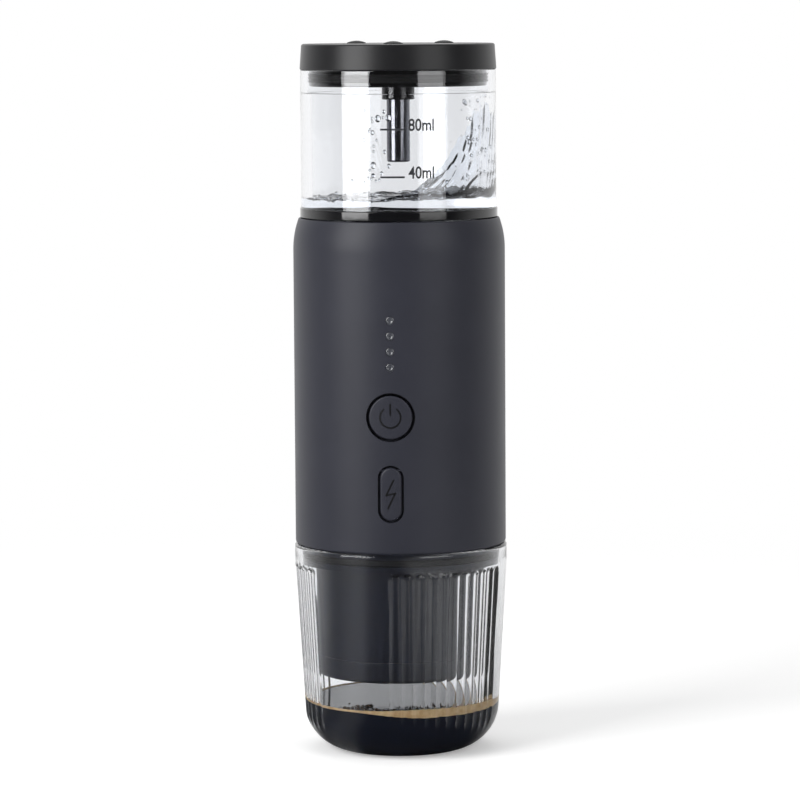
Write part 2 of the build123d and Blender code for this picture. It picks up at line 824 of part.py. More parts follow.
def board_screw_places():
    return [(side * board_screw_x, rim_z + up) for up in (arm_lower_height, arm_upper_height) for side in (-1, 1)]


def control_board():
    height = led_z[-1] - port_z + 2 * board_margin
    board = front(Rectangle(board_width, height), board_back_y, board_y, (led_z[-1] + port_z) / 2)
    for x, z in board_screw_places():
        board -= front(Circle(screw_hole), board_back_y, board_y, z, x)
    return board


def board_screws():
    seat_y = board_y - screw_head
    tip_y = board_back_y + screw_bite
    screws = []
    for x, z in board_screw_places():
        shank = front(Circle(screw_radius), tip_y, board_y, z, x)
        screws.append(shank + front(Circle(screw_head_radius), board_y, seat_y, z, x))
    return Compound(screws)


def inner_chassis():
    roof_z = deck_under_z - chassis_disc
    shelf_top_z = foot_top_z + cell_gap + cell_length + cell_button_height + cell_gap
    flat_y = chassis_front_flat - shell_inner
    kept = block((-shell_inner, shell_inner), (flat_y, shell_inner), (plate_z, deck_under_z))
    behind = block((-shell_inner, shell_inner), (wall_front_y, shell_inner), (plate_z, deck_under_z))
    shelf_y = idler_y - ear_offset - pump_ear_radius
    frame = rod(chassis_radius, plate_z, foot_top_z) & kept
    frame += rod(chassis_radius, roof_z, deck_under_z) & kept
    frame += rod(chassis_radius, shelf_top_z, shelf_top_z + cell_shelf) & behind
    frame += block((-chassis_wall_half, chassis_wall_half), (wall_front_y, wall_back_y), (foot_top_z, roof_z))
    frame += block((-shelf_half, shelf_half), (shelf_y, wall_front_y), (shelf_z, motor_z))
    for x, z in board_screw_places():
        half = arm_width / 2
        frame += block((x - half, x + half), (board_back_y, wall_front_y), (z - arm_height / 2, z + arm_height / 2))
        frame += front(Circle(arm_boss_radius), board_back_y + arm_boss_length, board_back_y, z, x)
        frame -= front(Circle(screw_hole), board_back_y + arm_boss_length, board_back_y, z, x)
    frame -= rod(motor_boss_radius + slip_gap, shelf_z, motor_z, 0, drive_y)
    frame -= rod(hose_outer + turn_gap, plate_z, foot_top_z, -hose_offset, hose_y)
    frame -= rod(hose_outer + turn_gap, roof_z, deck_under_z, hose_offset, hose_y)
    for y in (drive_y + ear_offset, idler_y - ear_offset):
        frame -= rod(screw_hole, shelf_z, motor_z, 0, y)
    for angle in around(chassis_screw_count, chassis_screw_angle):
        frame -= rod(screw_hole, plate_z, foot_top_z, *polar(chassis_screw_circle, angle))
    for angle in around(deck_screw_count, deck_screw_angle):
        frame -= rod(screw_hole, deck_under_z - screw_bite, deck_under_z, *polar(deck_screw_circle, angle))
    return frame


def chassis_screws():
    places = [polar(chassis_screw_circle, angle) for angle in around(chassis_screw_count, chassis_screw_angle)]
    return Compound([screw(x, y, foot_top_z, plate_z - screw_bite + slip_gap) for x, y in places])


def battery_cells():
    low = foot_top_z + cell_gap
    profile = [(0, low), (cell_radius, low), (cell_radius, low + cell_length), (0, low + cell_length)]
    cell = turned(profile, [(1, cell_gap), (2, cell_gap)])
    cell += rod(cell_button_radius, low + cell_length, low + cell_length + cell_button_height)
    return Compound([Pos(side * cell_x, cell_y, 0) * cell for side in (-1, 1)])


def motor_can():
    can = rod(motor_radius, motor_z, motor_z + motor_length, 0, drive_y)
    can = fillet(can.edges().group_by(Axis.Z)[0], motor_gap)
    can += rod(motor_boss_radius, motor_z - motor_boss, motor_z, 0, drive_y)
    return can - rod(shaft_radius + run_gap, motor_z - motor_boss, motor_z + motor_bore_depth, 0, drive_y)


def motor_end_cap():
    low = motor_z + motor_length
    cap = rod(motor_radius - motor_gap, low, low + motor_cap, 0, drive_y)
    return cap + rod(motor_boss_radius, low + motor_cap, low + motor_cap + motor_boss, 0, drive_y)


def drive_shaft():
    return rod(shaft_radius, pump_z + pump_floor / 2, motor_z + motor_bore_depth - turn_gap, 0, drive_y)


def idler_shaft():
    high = pump_cover_z + pump_cover_thickness / 2
    return rod(shaft_radius, pump_z + pump_floor / 2, high - turn_gap, 0, idler_y)


def gear_outline():
    """The outline of a spur gear with involute flanks, one tooth on the X axis."""
    base = gear_radius * math.cos(math.radians(gear_pressure_angle))
    root = gear_radius - gear_dedendum * gear_module
    flat_angle = math.tan(math.radians(gear_pressure_angle)) - math.radians(gear_pressure_angle)
    at_pitch = math.pi / (2 * gear_teeth) - gear_backlash / (2 * gear_radius) + flat_angle

    def flank(radius):
        """Half of the tooth's angle at a radius."""
        turn = math.acos(base / radius)
        return at_pitch - (math.tan(turn) - turn)

    def at(radius, angle):
        return radius * math.cos(angle), radius * math.sin(angle)

    radii = [base + (gear_tip - base) * (i / flank_steps) ** 2 for i in range(flank_steps + 1)]
    pitch = 2 * math.pi / gear_teeth
    edges = []
    for tooth in range(gear_teeth):
        middle = pitch * tooth
        rising = [at(r, middle - flank(r)) for r in radii]
        falling = [at(r, middle + flank(r)) for r in reversed(radii)]
        foot_in = at(root, middle - flank(base))
        foot_out = at(root, middle + flank(base))
        next_foot = at(root, middle + pitch - flank(base))
        edges += [Line(foot_in, rising[0]), Spline(*rising)]
        edges += [ThreePointArc(rising[-1], at(gear_tip, middle), falling[0])]
        edges += [Spline(*falling), Line(falling[-1], foot_out)]
        edges += [ThreePointArc(foot_out, at(root, middle + pitch / 2), next_foot)]
    return make_face(edges)


def gear(y, angle):
    low = pump_z + pump_floor + run_gap
    face = gear_outline() - Circle(shaft_radius + shaft_gap)
    return extrude(Pos(0, y, low) * Rot(0, 0, angle) * face, gear_width)


def drive_gear():
    return gear(drive_y, -90)


def idler_gear():
    return gear(idler_y, 90 + 180 / gear_teeth)


def pump_outline():
    """The pump's oblong plan with a screw ear at each end."""
    middle = (drive_y + idler_y) / 2
    outline = Pos(0, middle) * Rot(0, 0, 90) * SlotCenterToCenter(drive_y - idler_y, 2 * pump_half)
    for y in (drive_y + ear_offset, idler_y - ear_offset):
        outline += Pos(0, y) * Circle(pump_ear_radius)
        outline -= Pos(0, y) * Circle(screw_hole)
    return outline


def pump_body():
    floor_z = pump_z + pump_floor
    body = extrude(Pos(0, 0, pump_z) * pump_outline(), pump_cover_z - pump_z)
    for y in (drive_y, idler_y):
        body -= rod(pump_chamber, floor_z, pump_cover_z, 0, y)
        body -= rod(shaft_radius + run_gap, pump_z + pump_floor / 2, floor_z, 0, y)
    along_x = Plane((0, hose_y, pump_port_z), x_dir=(0, 1, 0), z_dir=(1, 0, 0))
    reach = pump_half + pump_nipple_length
    middle = block((-pump_half, pump_half), (idler_y, drive_y), (pump_z, pump_cover_z))
    body += extrude(along_x * Circle(nipple_radius), reach, both=True) - middle
    bore = extrude(along_x * Circle(nipple_bore), reach, both=True)
    return body - bore


def pump_cover():
    top_z = pump_cover_z + pump_cover_thickness
    cover = extrude(Pos(0, 0, pump_cover_z) * pump_outline(), pump_cover_thickness)
    cover -= rod(shaft_radius + run_gap, pump_cover_z, top_z, 0, drive_y)
    cover -= rod(shaft_seal_radius + run_gap, top_z - shaft_seal_thickness, top_z, 0, drive_y)
    return cover - rod(shaft_radius + run_gap, pump_cover_z, pump_cover_z + pump_cover_thickness / 2, 0, idler_y)


def shaft_seal():
    top_z = pump_cover_z + pump_cover_thickness
    ring = tube(shaft_seal_radius, shaft_radius + run_gap, top_z - shaft_seal_thickness, top_z)
    return Pos(0, drive_y, 0) * ring


def pump_screws():
    places = (drive_y + ear_offset, idler_y - ear_offset)
    return Compound([screw(0, y, pump_z, motor_z - slip_gap) for y in places])


def hose(start, corner, end):
    """A hose with one bend, on a nipple at each end."""
    path = FilletPolyline(start, corner, end, radius=hose_bend)
    section = Plane(start, z_dir=path % 0)
    return sweep(section * Circle(hose_outer), path) - sweep(section * Circle(hose_inner), path)


def suction_hose():
    corner = (hose_offset, hose_y, pump_port_z)
    return hose((hose_offset, hose_y, deck_under_z - run_gap), corner, (pump_half + run_gap, hose_y, pump_port_z))


def pressure_hose():
    corner = (-hose_offset, hose_y, pump_port_z)
    return hose((-hose_offset, hose_y, plate_z + run_gap), corner, (-pump_half - run_gap, hose_y, pump_port_z))


pieces = [
    drinking_cup, body_shell, group_housing, cup_grip_ring, group_gasket, shower_screen, shower_screw,
    brew_head_shell, filter_basket, nozzle_cap, water_tank, tank_base, tank_collar, tank_strainer, tank_gasket,
    top_deck, deck_screws, lid_cap, lid_feet, lid_plug, lid_seal, breather_tube, power_button, switch_body, switch_plunger,
    light_guide, led_chips, port_cover, usb_socket, control_board, board_screws, inner_chassis, chassis_screws,
    battery_cells, motor_can, motor_end_cap, drive_shaft, idler_shaft, drive_gear, idler_gear, pump_body,
    pump_cover, shaft_seal, pump_screws, suction_hose, pressure_hose,
]

os.makedirs("parts", exist_ok=True)
for piece in pieces:
    export_step(piece(), f"parts/{piece.__name__}.step")
    print(piece.__name__)
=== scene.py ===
import math
import random

import bmesh
import bpy
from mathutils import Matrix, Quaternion, Vector, noise


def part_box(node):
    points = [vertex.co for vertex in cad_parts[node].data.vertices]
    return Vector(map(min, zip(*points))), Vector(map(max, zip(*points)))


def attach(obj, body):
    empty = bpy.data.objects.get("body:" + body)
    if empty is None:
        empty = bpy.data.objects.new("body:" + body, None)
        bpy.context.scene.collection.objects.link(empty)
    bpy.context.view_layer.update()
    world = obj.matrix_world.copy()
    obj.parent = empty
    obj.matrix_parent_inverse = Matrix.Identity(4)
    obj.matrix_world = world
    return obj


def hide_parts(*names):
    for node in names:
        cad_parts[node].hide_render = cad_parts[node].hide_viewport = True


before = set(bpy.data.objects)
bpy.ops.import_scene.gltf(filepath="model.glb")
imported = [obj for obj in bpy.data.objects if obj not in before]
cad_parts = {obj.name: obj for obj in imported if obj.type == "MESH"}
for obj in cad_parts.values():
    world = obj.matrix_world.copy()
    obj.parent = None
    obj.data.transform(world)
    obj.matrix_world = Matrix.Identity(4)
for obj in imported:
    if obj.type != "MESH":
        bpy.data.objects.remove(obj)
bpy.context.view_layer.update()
bpy.ops.object.select_all(action="DESELECT")
mm = 0.001
hair = 1e-6  # metres: places closer than this are one
fineHair = 1e-7  # the same in a sketch or at a flat end
frontAngle = -90.0  # the controls face -Y
print("frame loaded:", len(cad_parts), "nodes")


# sRGB hex to linear
def linear(hexCode):
    parts = [int(hexCode[i:i + 2], 16) / 255 for i in (1, 3, 5)]
    return tuple(p / 12.92 if p <= 0.04045 else ((p + 0.055) / 1.055) ** 2.4 for p in parts) + (1.0,)


# texture scale for a grain of this many millimetres
def perMm(size):
    return 1 / (size * mm)


def addNode(tree, kind, settings=None, links=None):
    node = tree.nodes.new(kind)
    for key, value in (settings or {}).items():
        if isinstance(key, int) or key in node.inputs:
            node.inputs[key].default_value = value
        else:
            setattr(node, key, value)
    for key, source in (links or {}).items():
        tree.links.new(source, node.inputs[key])
    return node


# a cleared material, its node tree and the coordinates that its patterns read
def newMaterial(name):
    material = bpy.data.materials.new(name)
    material.use_nodes = True
    tree = material.node_tree
    tree.nodes.clear()
    place = addNode(tree, "ShaderNodeTexCoord").outputs["Object"]
    return material, tree, place


detail = {"drift": 3.0, "grain": 4.0, "flow": 1.0, "lines": 3.0}
bumpDepth = {"grain": 0.2, "flow": 0.05, "lines": 0.1}  # as a share of the pattern's size
lineSquash = (0.05, 0.05, 1.0)  # draws the noise out round the axis


# uneven gloss from one pattern and a bump from another, as links for a surface
def glossAndBump(tree, look, uneven, height, distance):
    gloss = addNode(tree, "ShaderNodeMapRange", {"To Min": look["rough"][0], "To Max": look["rough"][1]},
                    {"Value": uneven})
    bump = addNode(tree, "ShaderNodeBump", {"Strength": look["bump"], "Distance": distance},
                   {"Height": height})
    return {"Roughness": gloss.outputs["Result"], "Normal": bump.outputs["Normal"]}


# the look's two colours, mixed by a pattern
def twoTone(tree, look, pattern):
    mix = addNode(tree, "ShaderNodeMix",
                  {"data_type": "RGBA", 6: linear(look["dark"]), 7: linear(look["light"])}, {0: pattern})
    return {"Base Color": mix.outputs[2]}


def addSurface(tree, shader, links):
    surface = addNode(tree, "ShaderNodeBsdfPrincipled", shader, links)
    addNode(tree, "ShaderNodeOutputMaterial", None, {"Surface": surface.outputs["BSDF"]})


# a moulded finish: a little colour drift, uneven gloss and a fine grain in the bump
def mouldedFinish(name, look, shader):
    material, tree, place = newMaterial(name)
    drift = addNode(tree, "ShaderNodeTexNoise", {"Scale": perMm(look["driftMm"]), "Detail": detail["drift"]},
                    {"Vector": place}).outputs["Fac"]
    grain = addNode(tree, "ShaderNodeTexNoise", {"Scale": perMm(look["grainMm"]), "Detail": detail["grain"]},
                    {"Vector": place}).outputs["Fac"]
    links = glossAndBump(tree, look, drift, grain, look["grainMm"] * mm * bumpDepth["grain"])
    addSurface(tree, shader, {**links, **twoTone(tree, look, drift)})
    return material


# a clear moulding: faint flow waves bend what is seen through it
def clearFinish(name, look, shader):
    material, tree, place = newMaterial(name)
    flow = addNode(tree, "ShaderNodeTexNoise", {"Scale": perMm(look["flowMm"]), "Detail": detail["flow"]},
                   {"Vector": place}).outputs["Fac"]
    links = glossAndBump(tree, look, flow, flow, look["flowMm"] * mm * bumpDepth["flow"])
    addSurface(tree, {**shader, "Base Color": linear(look["tint"]), "Transmission Weight": 1.0}, links)
    return material


# a drawn or turned metal: fine lines run round the axis
def drawnMetal(name, look):
    material, tree, place = newMaterial(name)
    squash = addNode(tree, "ShaderNodeMapping", {"Scale": lineSquash}, {"Vector": place})
    lines = addNode(tree, "ShaderNodeTexNoise", {"Scale": perMm(look["lineMm"]), "Detail": detail["lines"]},
                    {"Vector": squash.outputs["Vector"]}).outputs["Fac"]
    links = glossAndBump(tree, look, lines, lines, look["lineMm"] * mm * bumpDepth["lines"])
    addSurface(tree, {"Metallic": 1.0}, {**links, **twoTone(tree, look, lines)})
    return material


# grains and lines finer than about 0.15 mm don't show in the picture, so they are drawn that coarse
finishes = {
    # ABS from a spark-eroded mould: dark, dry to the eye, wide soft highlights
    "charcoal_plastic": mouldedFinish("matt_charcoal_abs", {
        "dark": "#26272f", "light": "#2c2d36", "rough": (0.38, 0.46),
        "driftMm": 14.0, "grainMm": 0.35, "bump": 0.12,
    }, {"IOR": 1.5, "Specular IOR Level": 0.28}),
    # the lid's ABS: smoother, near black, satin highlights
    "lid_plastic": mouldedFinish("satin_black_abs", {
        "dark": "#151517", "light": "#1a1a1c", "rough": (0.32, 0.38),
        "driftMm": 14.0, "grainMm": 0.35, "bump": 0.1,
    }, {"IOR": 1.5, "Specular IOR Level": 0.32}),
    # polished ABS: black with sharp reflections
    "gloss_black_plastic": mouldedFinish("polished_black_abs", {
        "dark": "#0c0c0e", "light": "#111113", "rough": (0.05, 0.09),
        "driftMm": 9.0, "grainMm": 3.0, "bump": 0.02,
    }, {"IOR": 1.54}),
    # glass-filled nylon of the brewing parts: blue-black, half gloss
    "black_plastic": mouldedFinish("blue_black_nylon", {
        "dark": "#0c1120", "light": "#12182a", "rough": (0.3, 0.36),
        "driftMm": 10.0, "grainMm": 0.4, "bump": 0.06,
    }, {"IOR": 1.53}),
    # copolyester moulding: water clear, bright edges
    "clear_plastic": clearFinish("clear_copolyester", {
        "tint": "#f7f8fa", "flowMm": 12.0, "rough": (0.0, 0.012), "bump": 0.05,
    }, {"IOR": 1.5}),
    # moulded silicone rubber: near black, dull
    "black_silicone": mouldedFinish("black_silicone_rubber", {
        "dark": "#131314", "light": "#1a1a1c", "rough": (0.5, 0.6),
        "driftMm": 6.0, "grainMm": 0.25, "bump": 0.15,
    }, {"IOR": 1.43, "Specular IOR Level": 0.4}),
    # translucent silicone hose: milky
    "clear_silicone": clearFinish("milky_silicone_rubber", {
        "tint": "#e6e8e8", "flowMm": 4.0, "rough": (0.3, 0.4), "bump": 0.1,
    }, {"IOR": 1.42}),
    # steel tube with a dark vapour coat: gunmetal, one hard highlight
    "dark_chrome": drawnMetal("gunmetal_coated_steel", {
        "dark": "#76767a", "light": "#7f7f84", "lineMm": 1.2, "rough": (0.1, 0.14), "bump": 0.01,
    }),
    # stainless steel sheet and shafts: pale grey, fine turning lines
    "steel": drawnMetal("turned_stainless_steel", {
        "dark": "#a3a4a6", "light": "#b9babb", "lineMm": 0.15, "rough": (0.2, 0.3), "bump": 0.08,
    }),
    # unpainted ABS of the inner frame: mid grey, rough
    "frame_plastic": mouldedFinish("grey_frame_abs", {
        "dark": "#4a4c4f", "light": "#56585b", "rough": (0.45, 0.55),
        "driftMm": 8.0, "grainMm": 0.3, "bump": 0.12,
    }, {"IOR": 1.5}),
    # acetal of the pump and strainer: white, waxy
    "white_plastic": mouldedFinish("white_acetal", {
        "dark": "#dcdcd6", "light": "#e6e6e1", "rough": (0.3, 0.4),
        "driftMm": 5.0, "grainMm": 0.3, "bump": 0.08,
    }, {"IOR": 1.48, "Subsurface Weight": 0.1}),
    # smoked polycarbonate of the light guide: dark while unlit, wet highlights
    "light_guide_plastic": mouldedFinish("smoked_polycarbonate", {
        "dark": "#34353a", "light": "#46484e", "rough": (0.1, 0.16),
        "driftMm": 1.2, "grainMm": 0.3, "bump": 0.05,
    }, {"IOR": 1.58}),
    # glass-epoxy board under solder lacquer: deep green, satin
    "board_laminate": mouldedFinish("lacquered_glass_epoxy", {
        "dark": "#123b22", "light": "#1b4d2d", "rough": (0.3, 0.4),
        "driftMm": 3.0, "grainMm": 0.5, "bump": 0.1,
    }, {"IOR": 1.52}),
    # shrunk PVC sleeve of the cells: blue, slight gloss
    "cell_wrap": mouldedFinish("shrunk_pvc_sleeve", {
        "dark": "#23406e", "light": "#2a4a7c", "rough": (0.25, 0.35),
        "driftMm": 6.0, "grainMm": 0.8, "bump": 0.08,
    }, {"IOR": 1.52}),
}
print("finishes made:", len(finishes))


# outer radius, low and high of a CAD node, in millimetres
def reach(node):
    low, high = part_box(node)
    return high.x / mm, low.z / mm, high.z / mm


def deselect():
    if bpy.context.mode != "OBJECT":
        bpy.ops.object.mode_set(mode="OBJECT")
    bpy.ops.object.select_all(action="DESELECT")


def activate(piece):
    deselect()
    piece.select_set(True)
    bpy.context.view_layer.objects.active = piece


# draws a half section from one vertex, rounds its corners and spins it about Z; points are (radius, height)
# in mm, and a section that is no ring starts and ends on the axis
def turned(name, outline, rounds=None, steps=256, arcSteps=6, ring=True):
    deselect()
    bpy.ops.mesh.primitive_plane_add(size=mm)
    piece = bpy.context.object
    piece.name = name
    bpy.ops.object.mode_set(mode="EDIT")
    bpy.ops.mesh.merge(type="CENTER")
    bpy.ops.transform.translate(value=(outline[0][0] * mm, 0, outline[0][1] * mm))
    path = list(outline) + list(outline[:1] if ring else [])
    for before, after in zip(path, path[1:]):
        step = ((after[0] - before[0]) * mm, 0, (after[1] - before[1]) * mm)
        bpy.ops.mesh.extrude_region_move(TRANSFORM_OT_translate={"value": step})
    bpy.ops.mesh.select_all(action="SELECT")
    bpy.ops.mesh.remove_doubles(threshold=fineHair)
    for index, radius in (rounds or {}).items():
        here = Vector(outline[index])
        ahead = Vector(outline[(index + 1) % len(outline)]) - here
        behind = Vector(outline[index - 1]) - here
        offset = radius / math.tan(ahead.angle(behind) / 2)
        bpy.ops.mesh.select_all(action="DESELECT")
        edit = bmesh.from_edit_mesh(piece.data)
        nearest = min(edit.verts, key=lambda v: (v.co - Vector((here.x * mm, 0, here.y * mm))).length)
        nearest.select = True
        edit.select_flush_mode()
        bmesh.update_edit_mesh(piece.data)
        bpy.ops.mesh.bevel(offset_type="OFFSET", offset=offset * mm, segments=arcSteps, affect="VERTICES")
    bpy.ops.mesh.select_all(action="SELECT")
    bpy.ops.mesh.spin(steps=steps, angle=2 * math.pi, center=(0, 0, 0), axis=(0, 0, 1))
    closeUp(piece)
    return piece


# merges doubles and turns the faces outwards
def closeUp(piece):
    activate(piece)
    bpy.ops.object.mode_set(mode="EDIT")
    bpy.ops.mesh.select_all(action="SELECT")
    bpy.ops.mesh.remove_doubles(threshold=hair)
    bpy.ops.mesh.normals_make_consistent(inside=False)
    bpy.ops.object.mode_set(mode="OBJECT")


# puts a piece made about the origin in its place, in mm and degrees, and applies it to the mesh
def settle(piece, place=(0, 0, 0), turn=(0, 0, 0)):
    activate(piece)
    piece.location = [p * mm for p in place]
    piece.rotation_euler = [math.radians(t) for t in turn]
    bpy.ops.object.transform_apply(location=True, rotation=True, scale=True)
    return piece


def copyOf(piece, name):
    activate(piece)
    bpy.ops.object.duplicate(linked=False)
    copied = bpy.context.object
    copied.name = name
    return copied


# settled copies of a piece, which itself goes
def copiesAt(first, places, turn=(0, 0, 0)):
    copies = [settle(copyOf(first, f"{first.name}_{i}"), place, turn) for i, place in enumerate(places)]
    bpy.data.objects.remove(first)
    return copies


def joined(pieces):
    deselect()
    for piece in pieces:
        piece.select_set(True)
    bpy.context.view_layer.objects.active = pieces[0]
    if len(pieces) > 1:
        bpy.ops.object.join()
    return pieces[0]


def applyModifier(piece, kind, **settings):
    activate(piece)
    modifier = piece.modifiers.new(kind.title(), kind)
    for key, value in settings.items():
        setattr(modifier, key, value)
    bpy.ops.object.modifier_apply(modifier=modifier.name)


def combined(piece, tool, operation):
    applyModifier(piece, "BOOLEAN", operation=operation, object=tool, solver="EXACT")
    bpy.data.objects.remove(tool)


# moves the vertices of a finished mesh by a rule
def reshape(piece, rule):
    for vertex in piece.data.vertices:
        vertex.co = rule(vertex.co)
    piece.data.update()


# a ring of plain section in a CAD node's place, rounded outside
def plainRing(name, sizes):
    radius, low, high = reach(name)
    inner = radius - sizes["wall"]
    return turned(name, [(inner, low), (radius, low), (radius, high), (inner, high)],
                  {1: sizes["edgeRound"], 2: sizes["edgeRound"]})


# a block about the origin; its size isn't applied yet
def block(width, depth, height):
    deselect()
    bpy.ops.mesh.primitive_cube_add(size=mm)
    piece = bpy.context.object
    piece.dimensions = (width * mm, depth * mm, height * mm)
    return piece


# a prism on the front face, from a round or oblong outline; sizes in mm
def frontPrism(name, width, length, back, front, z, sides=64):
    deselect()
    half = width / 2 * mm
    bpy.ops.mesh.primitive_circle_add(vertices=sides, radius=half, fill_type="NGON",
                                      rotation=(math.pi / 2, math.pi / sides, 0))
    piece = bpy.context.object
    piece.name = name
    bpy.ops.object.transform_apply(location=True, rotation=True, scale=True)
    bpy.ops.object.mode_set(mode="EDIT")
    for side in (-1, 1):
        edit = bmesh.from_edit_mesh(piece.data)
        for vertex in edit.verts:
            vertex.select = vertex.co.z * side > 0
        edit.select_flush_mode()
        bmesh.update_edit_mesh(piece.data)
        bpy.ops.transform.translate(value=(0, 0, side * (length - width) / 2 * mm))
    bpy.ops.mesh.select_all(action="SELECT")
    bpy.ops.transform.translate(value=(0, back * mm, z * mm))
    bpy.ops.mesh.extrude_region_move(TRANSFORM_OT_translate={"value": (0, (front - back) * mm, 0)})
    closeUp(piece)
    return piece


def frontDisc(name, radius, back, front, z, sides=96):
    return frontPrism(name, 2 * radius, 2 * radius, back, front, z, sides)


endSteps = 6
squareOn = 0.99  # a face whose normal goes this far to the front is square to it


# rounds the edge of a prism's front (side -1) or back (side 1)
def roundEnd(piece, edgeRound, side):
    activate(piece)
    bpy.ops.object.mode_set(mode="EDIT")
    bpy.ops.mesh.select_all(action="DESELECT")
    edit = bmesh.from_edit_mesh(piece.data)
    end = max(v.co.y * side for v in edit.verts)
    for vertex in edit.verts:
        vertex.select = end - vertex.co.y * side < fineHair
    edit.select_flush_mode()
    bmesh.update_edit_mesh(piece.data)
    bpy.ops.mesh.bevel(offset=edgeRound * mm, segments=endSteps, affect="EDGES")
    bpy.ops.object.mode_set(mode="OBJECT")


# rounds the front edge of a prism and adds loops over its front, so that it can take the body's curve
def crownFront(piece, edgeRound, loops, loopWidth):
    roundEnd(piece, edgeRound, -1)
    bpy.ops.object.mode_set(mode="EDIT")
    for _ in range(loops):
        edit = bmesh.from_edit_mesh(piece.data)
        for face in edit.faces:
            face.select = False
        widest = max((f for f in edit.faces if f.normal.y < -squareOn), key=lambda f: len(f.verts))
        widest.select = True
        bmesh.update_edit_mesh(piece.data)
        bpy.ops.mesh.inset(thickness=loopWidth * mm, depth=0)
    bpy.ops.object.mode_set(mode="OBJECT")


# bends what stands on the front round the body: each point moves back by the body's fall-away at its x, but
# for those of a flat back, behind flatFrom in mm
def wrapFront(piece, radius, flatFrom=0.0):
    curve = radius * mm

    def rule(p):
        if p.y > flatFrom * mm:
            return p
        return Vector((p.x, p.y + curve - math.sqrt(curve * curve - p.x * p.x), p.z))

    reshape(piece, rule)


# smooth faces, finish, body and CAD nodes stood for
def finishPiece(piece, body, finish, nodes=(), sharp=35.0, liquid=False):
    activate(piece)
    bpy.ops.object.shade_smooth_by_angle(angle=math.radians(sharp), keep_sharp_edges=True)
    if not liquid:  # big faces shade true, rounds blend
        applyModifier(piece, "WEIGHTED_NORMAL", keep_sharp=True, weight=100)
    piece.data.materials.clear()
    piece.data.materials.append(finishes[finish])
    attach(piece, body)
    if nodes:
        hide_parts(*nodes)
    print("piece:", piece.name, len(piece.data.polygons), "faces")
    return piece


lugs = {"count": 3, "width": 24.0, "height": 2.2, "reach": 1.7, "root": 0.5, "steps": 12}


# the bayonet lugs round a neck: a small section spun through one lug's width, then copied
def addLugs(piece, inner, outer, low, angle):
    deselect()
    bpy.ops.mesh.primitive_plane_add(size=mm, rotation=(math.pi / 2, 0, 0))
    first = bpy.context.object
    first.name = "lug"
    first.dimensions = ((outer - inner) * mm, lugs["height"] * mm, 0)
    first.location = ((inner + outer) / 2 * mm, 0, (low + lugs["height"] / 2) * mm)
    bpy.ops.object.transform_apply(location=True, rotation=True, scale=True)
    bpy.ops.object.mode_set(mode="EDIT")
    bpy.ops.mesh.select_all(action="SELECT")
    bpy.ops.mesh.spin(steps=lugs["steps"], angle=-math.radians(lugs["width"]), center=(0, 0, 0),
                      axis=(0, 0, 1))
    closeUp(first)
    for i in range(lugs["count"]):
        turn = angle - lugs["width"] / 2 + 360 / lugs["count"] * i
        combined(piece, settle(copyOf(first, f"lug_{i}"), turn=(0, 0, turn)), "UNION")
    bpy.data.objects.remove(first)


# lid
lid = {"topRadius": 32.2, "rimRound": 0.3, "edgeRound": 0.8, "neck": 28.0, "topWall": 2.0, "vent": 1.0,
       "ventRound": 0.2}
lidRadius, lidLow, lidHigh = reach("lid_cap")


def lidCap():
    under = lidHigh - lid["topWall"]
    return turned("lid_cap", [
        (lid["vent"], under), (lid["neck"], under), (lid["neck"], lidLow), (lidRadius, lidLow),
        (lid["topRadius"], lidHigh), (lid["vent"], lidHigh),
    ], {3: lid["rimRound"], 4: lid["edgeRound"], 5: lid["ventRound"]})


lidFoot = {"radius": 3.2, "crown": 0.25, "dome": 0.65, "domeSteps": 8, "circle": 17.0, "pocket": 0.8,
           "gap": 0.05, "overcut": 1.0, "count": 3, "steps": 64}
pocketFloor = lidHigh - lidFoot["pocket"]


def footPlaces():
    for i in range(lidFoot["count"]):
        angle = math.radians(frontAngle + 360 / lidFoot["count"] * i)
        yield lidFoot["circle"] * math.cos(angle), lidFoot["circle"] * math.sin(angle), 0


def lidFeet():
    top = reach("lid_feet")[2]
    outline = [(0, pocketFloor), (lidFoot["radius"], pocketFloor)]
    for i in range(lidFoot["domeSteps"] + 1):
        across = 1 - i / lidFoot["domeSteps"]
        outline.append((lidFoot["radius"] * across, top - lidFoot["dome"] * across ** 2))
    first = turned("lid_feet", outline, {2: lidFoot["crown"]}, steps=lidFoot["steps"], ring=False)
    feet = copiesAt(first, footPlaces())
    feet[0].name = "lid_feet"
    return joined(feet)


def footPockets():
    side = lidFoot["radius"] + lidFoot["gap"]
    top = lidHigh + lidFoot["overcut"]
    first = turned("foot_pocket", [(0, pocketFloor), (side, pocketFloor), (side, top), (0, top)],
                   steps=lidFoot["steps"], ring=False)
    return copiesAt(first, footPlaces())


cap = lidCap()
for pocket in footPockets():
    combined(cap, pocket, "DIFFERENCE")
finishPiece(cap, "lid", "lid_plastic", ["lid_cap"])
finishPiece(lidFeet(), "lid", "black_silicone", ["lid_feet"])


# plug, seal and breather tube under the lid
plug = {"depth": 5.5, "radius": 29.6, "neck": 27.9, "hollow": 26.0, "floor": 2.4, "neckHeight": 6.0,
        "bossRadius": 5.5, "bossRound": 0.5, "socketRadius": 3.95, "socketDepth": 3.6, "groove": 1.0,
        "shoulderRound": 0.25, "footRound": 0.5}
seal = {"lip": 0.35, "lips": 3, "lipRound": 0.15, "lipSteps": 3, "gap": 0.05}
tube = {"wall": 0.9, "outerRound": 0.6, "boreRound": 0.2, "steps": 96}
plugLow = lidLow - plug["depth"]
bossLow = reach("lid_plug")[1]
sealRadius, sealLow, sealHigh = reach("lid_seal")


